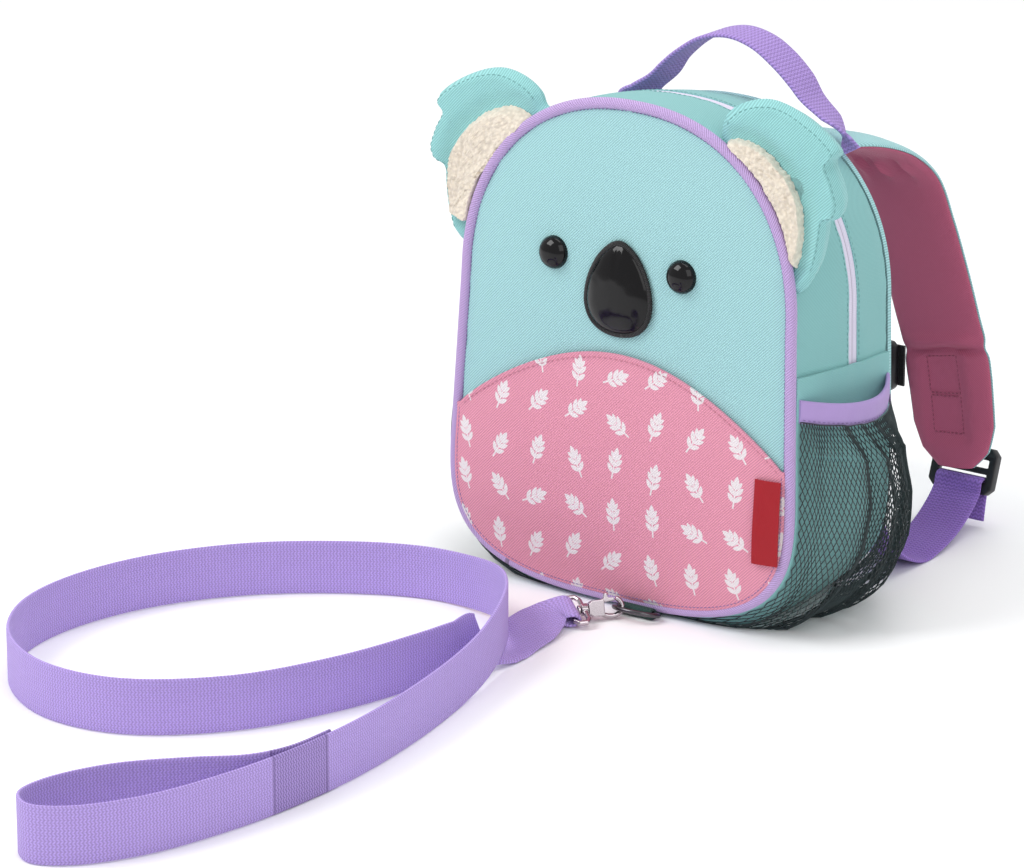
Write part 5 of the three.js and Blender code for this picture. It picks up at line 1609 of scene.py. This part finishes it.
def bump_share(w):
    return max(0, 1 - (2 * w - 1) ** 2)


def pocket_point(side, w, z, out, proud):
    """A point of a pocket at a share from front to back, a height and an outward reach."""
    v = 0.985 * w
    s = share_at_height(gusset_spec(v), max(z, 1))
    point = gusset_point(s, v, -proud)
    return Vector((side * (point.x + out * bump_share(w)), point.y, max(point.z, 0.35)))


def binding_top(w):
    return mix(POCKET["front"], POCKET["back"], w) - POCKET["sag"] * bump_share(w)


def pocket_out(up):
    for (a, out_a), (b, out_b) in zip(POCKET_ROWS, POCKET_ROWS[1:]):
        if up <= b:
            return mix(out_a, out_b, ramp((up - a) / (b - a), -0.2, 1.2) if up > a else 0)
    return POCKET_ROWS[-1][1]


class HARNESS_OT_pockets(HarnessOperator, bpy.types.Operator):
    """Builds the net pockets and their folded bindings"""

    bl_idname = "harness.pockets"
    bl_label = "Side pockets"

    def build(self, weave):
        for name, side in SIDES:
            self.net(name, side, weave)
            self.binding(name, side, weave)

    def surface(self, side, w, up):
        """The gathered net: folds run down from the binding and spread out. The left one lies flatter."""
        top = binding_top(w) - POCKET["binding"] + 0.6
        gather = math.sin(w * 36 + 1.6 * math.sin(up * 2.6 + w * 9)) * mix(1.5, 2.3, 1 - up)
        sway = 2.2 * ripple(w * 60, up * 40, 3 * side, 16)
        pull = w + 0.02 * math.sin(w * 36 + 1.6 * math.sin(up * 2.6 + w * 9) + 1.2) * bump_share(w)
        full = POCKET["reach"] if side > 0 else POCKET["reach"] * mix(1, 0.6, ramp(w, 0.85, 0.4))
        out = full * pocket_out(max(up, 0.07))
        rise = (gather + sway + 1) * ramp(bump_share(w), 0, 0.35) * mix(1, 0.1, ramp(up, 0.85, 1))
        proud = POCKET["clear"] + 0.8 + max(rise, 0)
        return pocket_point(side, clamp(pull), max(up, 0.035) * top, out, proud)

    def net(self, name, side, weave):
        cell = weave.net_cell / MM
        rows = int(96 / (cell * 1.15))
        columns = int(118 / (cell * 0.82))
        corners = {}
        points, faces = [], []

        def corner(x, y):
            key = (round(x * 60), round(y * 60))
            if key not in corners:
                corners[key] = len(points)
                w, up = clamp(x / columns), clamp(y / rows)
                points.append(self.surface(side, w, up))
            return corners[key]

        for r in range(rows):
            for c in range(columns):
                x = c + (0.5 if r % 2 else 0)
                hexagon = [(x, r + 0.75), (x + 0.5, r), (x + 1, r + 0.75),
                           (x + 1, r + 1), (x + 0.5, r + 1.75), (x, r + 1)]
                ring = [corner(*p) for p in hexagon]
                unique = [p for i, p in enumerate(ring) if p not in ring[:i]]
                if len(unique) > 2:
                    faces.append(unique)
        piece = new_piece(f"pocket_net_{name}", points, faces, [(p.x, p.z, p.y) for p in points])
        wire = piece.modifiers.new("yarn", "WIREFRAME")
        wire.thickness = weave.net_yarn
        wire.use_even_offset = False
        wire.use_boundary = True
        settle(piece, 80)
        seat(piece, finish_named(net_yarn), "net", f"pocket_mesh_{name}")

    def binding(self, name, side, weave):
        count = 90
        height = POCKET["binding"]
        reach = POCKET["mouth"] * POCKET["reach"]
        ring = [(0.0, 0.5), (0.03, 1.3), (0.1, 1.75), (0.3, 1.95), (0.5, 2.0), (0.7, 2.05), (0.88, 2.1),
                (0.96, 1.9), (1.0, 1.3), (1.0, 0.7), (0.96, 0.2), (0.85, 0.0), (0.5, 0.0), (0.15, 0.1)]
        points, cloth = [], []
        for i in range(count + 1):
            w = i / count
            top = binding_top(w)
            for up, proud in ring:
                wave = 0.35 * ripple(w * 110, up * 8, 5 * side, 12) * (1 if proud > 1 else 0.2)
                z = top - height * (1 - up)
                points.append(pocket_point(side, w, z, reach, GAP + proud * 1.15 + wave))
                cloth.append((w * 120, up * height, proud))
        faces = grid_faces(count + 1, len(ring), closed=True)
        last = count * len(ring)
        faces += [tuple(reversed(range(len(ring)))), tuple(range(last, last + len(ring)))]
        piece = settle(new_piece(f"pocket_binding_ribbon_{name}", points, faces, cloth), 50)
        seat(piece, finish_named(grosgrain), "binding", f"pocket_binding_{name}")
        run = []
        for i in range(count + 1):
            w = i / count
            z = binding_top(w) - height * 0.83
            point = pocket_point(side, w, z, reach, GAP + 2.6)
            out = (pocket_point(side, w, z, reach, GAP + 3.6) - point).normalized()
            run.append((point, out))
        thread = stitches(f"pocket_stitches_{name}", [run], weave.stitch / MM * 0.9, 1.7, 0.22)
        seat(thread, finish_named(seam_thread), "binding")


class HARNESS_OT_handle(HarnessOperator, bpy.types.Operator):
    """Builds the carry handle"""

    bl_idname = "harness.handle"
    bl_label = "Carry handle"

    def build(self, weave):
        y = BAG_DEPTH / 2 + BACK_WALL + HANDLE["thick"] / 2
        left = [(-out, up, turn, -1) for out, up, turn in HANDLE_ROWS]
        right = [(out, up, turn, 1) for out, up, turn in reversed(HANDLE_ROWS)]
        rows = [*left, (0, 1, 0, 1), *right]
        steps = 8
        path = smooth_run([(HANDLE["shift"] + out * HANDLE["half"], y, HANDLE["foot"] + up * HANDLE["rise"])
                           for out, up, _, _ in rows], steps)
        across = []
        for turn, side in zip(column([r[2] for r in rows], steps), column([r[3] for r in rows], steps)):
            sine = math.sin(math.radians(turn))
            sign = (side > 0) - (side < 0)
            across.append(Vector((-sine * sign * 0.7, math.cos(math.radians(turn)), -sine * 0.7)))
        widths = [HANDLE["width"] * mix(0.55, 1, ramp(p.z - HANDLE["foot"], 0, 13)) for p in path]
        piece = ribbon("handle_webbing", path, across, widths, HANDLE["thick"])
        seat(piece, finish_named(handle_webbing), "handle_web", "handle")


def strap_run(side, steps):
    start = GUSSET_END + GAP + BACK_WALL + BACK_DOME * 0.35 + GAP
    points = [(side * (STRAP["inner"] + out * STRAP["flare"]), start + back * STRAP["reach"],
               STRAP["top"] - down * STRAP["drop"]) for out, back, down, _ in STRAP_ROWS]
    return smooth_run(points, steps), column([row[3] * STRAP["width"] for row in STRAP_ROWS], steps)


def strap_tip():
    return strap_run(1, 2)[0][-1]


def strap_press(w, z):
    """How far the lining and the pad are drawn in by the sewn patch and the fold above it, from 0 to 1."""
    box_w = abs(w - PATCH["shift"]) - PATCH["half"] + 0.5
    box_z = abs(z - PATCH["z"]) - PATCH["reach"] - 0.5
    outside = math.hypot(max(box_w, 0), max(box_z, 0)) + min(max(box_w, box_z), 0)
    patch = ramp(outside, 7.5, -1)
    fold = math.exp(-((z - 86.5 + abs(w) * 0.08) / 1.8) ** 2) * 1.5
    return max(patch, fold)


class HARNESS_OT_straps(HarnessOperator, bpy.types.Operator):
    """Builds the padded shoulder straps with their linings"""

    bl_idname = "harness.straps"
    bl_label = "Shoulder straps"

    def build(self, weave):
        for name, side in SIDES:
            self.strap(name, side, weave)

    def strap(self, name, side, weave):
        path, widths = strap_run(side, 12)
        across = [Vector((1, 0, 0))] * len(path)
        across_count = 26
        outer, inner = [], []
        for i, width in enumerate(widths):
            z = path[i].z
            width *= 1 - 0.06 * math.exp(-((z - 86) / 3) ** 2)
            angles = [math.pi * (k / across_count - 0.5) for k in range(across_count + 1)]
            spread = [math.sin(angle) * width / 2 for angle in angles]
            top, face = [], []
            for w in spread:
                edge = clamp(1 - (abs(w) / (width / 2)) ** 2.6) ** 0.55
                press = strap_press(w, z)
                lumps = 0.5 * ripple(w, z, 3 + side, 15)
                thin = ramp(path[i].y, 46, 56)
                top.append((w, 1.0 + (4.1 * (1 - press * 0.35) + lumps) * edge * mix(0.45, 1, thin)))
                creases = self.creases(w, z, path[i].y, side)
                bulge = (2.0 * (1 - press) + 0.9 + creases + lumps * 0.4) * edge
                face.append((w * 0.975, 0.1 - bulge))
            outer.append([*top, *((w, 0.55) for w in reversed(spread))])
            inner.append([*face, *((w * 0.975, 0.35) for w in reversed(spread))])
        pad = settle(sweep(f"strap_pad_cloth_{name}", path, across, outer), 50)
        seat(pad, finish_named(mint_cloth), "shell", f"strap_pad_{name}")
        lining = settle(sweep(f"strap_lining_cloth_{name}", path, across, inner), 50)
        seat(lining, finish_named(rose_cloth), "lining", f"strap_lining_{name}")
        self.stitching(name, path, across, weave)

    def creases(self, w, z, y, side):
        """The puckered fold where the strap bends over from the bag."""
        bend = math.exp(-((y - 108) / 7) ** 2) * ramp(z, 160, 180)
        waves = 2.2 * bend * (math.sin(w * 0.42 + 1.2 * side) + 0.6 * math.sin(w * 0.9 + 2))
        fold = 2.4 * math.exp(-((z - 91) / 3.0) ** 2) * ramp(abs(w), 23, 12)
        return waves + fold

    def stitching(self, name, path, across, weave):
        """The sewn patch's two boxes, on the lining."""
        frames = frames_along(path, across)

        def spot(w, z):
            i = next(k for k in range(len(path) - 1) if path[k].z >= z > path[k + 1].z)
            point, _, wide, over = frames[i]
            point = point + (path[i + 1] - point) * ((path[i].z - z) / (path[i].z - path[i + 1].z))
            return point + wide * w - over * 0.95, -over

        inner, outer = PATCH["shift"] - PATCH["half"], PATCH["shift"] + PATCH["half"]
        near, far = PATCH["gap"] / 2, PATCH["reach"]
        runs = []
        for low, high in ((PATCH["z"] - far, PATCH["z"] - near), (PATCH["z"] + near, PATCH["z"] + far)):
            corners = [(inner, low), (outer, low), (outer, high), (inner, high), (inner, low)]
            run = []
            for (a, b), (c, d) in zip(corners, corners[1:]):
                run += [spot(mix(a, c, t / 8), mix(b, d, t / 8)) for t in range(8)]
            runs.append([*run, spot(*corners[-1])])
        thread = stitches(f"strap_patch_stitches_{name}", runs, weave.stitch / MM * 0.75, 1.6, 0.3)
        seat(thread, finish_named(rose_thread), "lining")


def lock_at():
    return strap_tip() + Vector((0, LOCK["behind"], -LOCK["below"]))


def lock_point(up, out):
    turn = math.pi / 2 - math.radians(LOCK["tilt"])
    return lock_at() + Vector((0, up * math.cos(turn) - out * math.sin(turn),
                               up * math.sin(turn) + out * math.cos(turn)))


class HARNESS_OT_lower_webbing(HarnessOperator, bpy.types.Operator):
    """Builds the webbings from the lower corners and their ladder locks"""

    bl_idname = "harness.lower_webbing"
    bl_label = "Lower webbing"

    def build(self, weave):
        face = LOCK["thick"] / 2 + WEB["thick"] / 2 + GAP
        slot = -LOCK["bar"] / 2 - LOCK["slot"] / 2
        start = GUSSET_END + GAP + BACK_WALL + GAP + WEB["thick"] / 2
        under = lock_point(-LOCK["height"] / 2, face)
        z = WEB["clear"]
        points = [
            Vector((WEB["x"], start, WEB["foot"])), Vector((WEB["x"], start + 8, WEB["foot"] * 0.62)),
            Vector((WEB["x"], start + 22, WEB["foot"] * 0.24)), Vector((WEB["x"], WEB["fold"], z)),
            Vector((WEB["x"], WEB["fold"] + 13, z + 1.6)),
            Vector((mix(WEB["x"], under.x, 0.6), mix(WEB["fold"], under.y, 0.68), mix(z, under.z, 0.4))),
            under, lock_point(slot - 1.6, face), lock_point(slot, 0), lock_point(slot - 1.6, -face),
            lock_point(-LOCK["height"] / 2, -face), lock_point(-LOCK["height"] / 2 - WEB["tail"], -face - 2),
        ]
        for name, side in SIDES:
            path = smooth_run([(side * p.x, p.y, p.z) for p in points], 8)
            across = [Vector((1, 0, 0))] * len(path)
            piece = ribbon(f"lower_web_{name}", path, across, [WEB["width"]] * len(path), WEB["thick"])
            seat(piece, finish_named(lower_webbing_finish), "lower_web", f"lower_webbing_{name}")
            lock = bevelled(f"ladder_lock_body_{name}", f"ladder_lock_{name}", 0.9)
            seat(lock, finish_named(moulded), "black_plastic", f"ladder_lock_{name}")


class HARNESS_OT_chest(HarnessOperator, bpy.types.Operator):
    """Builds the chest buckle and its webbing"""

    bl_idname = "harness.chest"
    bl_label = "Chest buckle"

    def build(self, weave):
        for node in ("buckle_socket", "buckle_plug"):
            piece = bevelled(f"{node}_body", node, 0.8)
            seat(piece, finish_named(moulded), "black_plastic", node)
        for side, _ in SIDES:
            low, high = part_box(f"chest_webbing_{side}")
            middle = (low + high) / 2 / MM
            width = (high.z - low.z) / MM
            path = [Vector((mix(low.x, high.x, k / 12) / MM, middle.y, middle.z)) for k in range(13)]
            across = [Vector((0, 0, 1))] * len(path)
            piece = ribbon(f"chest_web_{side}", path, across, [width] * len(path), 1.5)
            seat(piece, finish_named(black_webbing), "black_plastic", f"chest_webbing_{side}")


class HARNESS_OT_ring(HarnessOperator, bpy.types.Operator):
    """Builds the ring and the tab that holds it"""

    bl_idname = "harness.ring"
    bl_label = "Ring"

    def build(self, weave):
        path = []
        steps = 39
        for i in range(steps + 1):
            angle = math.pi * i / steps
            down = math.sin(angle) ** 0.9
            path.append(Vector((RING["x"] + RING["half"] * math.cos(angle), RING["y"] - RING["depth"] * down,
                                RING["z"] + RING["rise"] * down)))
        for share in (-0.9, -0.5, 0, 0.5, 0.9):
            path.append(Vector((RING["x"] + RING["half"] * share, RING["y"] + 0.35, RING["z"])))
        ring = tube("ring_bar", path, RING["radius"], 14, closed=True)
        seat(ring, finish_named(dark_nickel), "steel", "ring")
        tab = bevelled("ring_tab_webbing", "ring_tab", 0.35)
        attribute = tab.data.attributes.new(CLOTH_COORDS, "FLOAT_VECTOR", "POINT")
        places = [c for vertex in tab.data.vertices for c in (vertex.co.y / MM, vertex.co.x / MM, 0)]
        attribute.data.foreach_set("vector", places)
        seat(tab, finish_named(green_webbing), "tab_web", "ring_tab")


class HARNESS_OT_hook(HarnessOperator, bpy.types.Operator):
    """Builds the chromed trigger hook, its gate and the swivel's eye"""

    bl_idname = "harness.hook"
    bl_label = "Trigger hook"

    def build(self, weave):
        for node, body in (("swivel_eye", "bag"), ("hook_body", "hook"), ("hook_gate", "gate")):
            piece = softened(f"{node}_cast", node, 0.16, 4)
            seat(piece, finish_named(bright_chrome), "chrome", node, body=body)


OPERATORS = (
    HARNESS_OT_stage, HARNESS_OT_tether, HARNESS_OT_front, HARNESS_OT_belly, HARNESS_OT_gusset,
    HARNESS_OT_zip, HARNESS_OT_face, HARNESS_OT_ears, HARNESS_OT_pockets, HARNESS_OT_handle,
    HARNESS_OT_straps, HARNESS_OT_lower_webbing, HARNESS_OT_chest, HARNESS_OT_ring, HARNESS_OT_hook,
)


class HARNESS_PT_panel(bpy.types.Panel):
    """Lists the backpack's pieces, colours and sizes."""

    bl_label = "Harness Backpack"
    bl_idname = "HARNESS_PT_panel"
    bl_space_type = "VIEW_3D"
    bl_region_type = "UI"
    bl_category = "Harness Backpack"

    def draw(self, context):
        for operator in OPERATORS:
            self.layout.operator(operator.bl_idname)
        for name in GROUPS:
            group = getattr(context.scene, name)
            for key in group.__annotations__:
                self.layout.prop(group, key)


GROUPS = {"harness_colours": HarnessColours, "harness_weave": HarnessWeave, "harness_stage": HarnessStage}


def register():
    for group in GROUPS.values():
        bpy.utils.register_class(group)
    for name, group in GROUPS.items():
        setattr(bpy.types.Scene, name, bpy.props.PointerProperty(type=group))
    for operator in OPERATORS:
        bpy.utils.register_class(operator)
    bpy.utils.register_class(HARNESS_PT_panel)


def unregister():
    bpy.utils.unregister_class(HARNESS_PT_panel)
    for operator in reversed(OPERATORS):
        bpy.utils.unregister_class(operator)
    for name, group in reversed(GROUPS.items()):
        delattr(bpy.types.Scene, name)
        bpy.utils.unregister_class(group)


def main():
    register()
    for operator in OPERATORS:
        area, name = operator.bl_idname.split(".")
        getattr(getattr(bpy.ops, area), name)()
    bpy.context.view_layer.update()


if __name__ == "__main__":
    main()
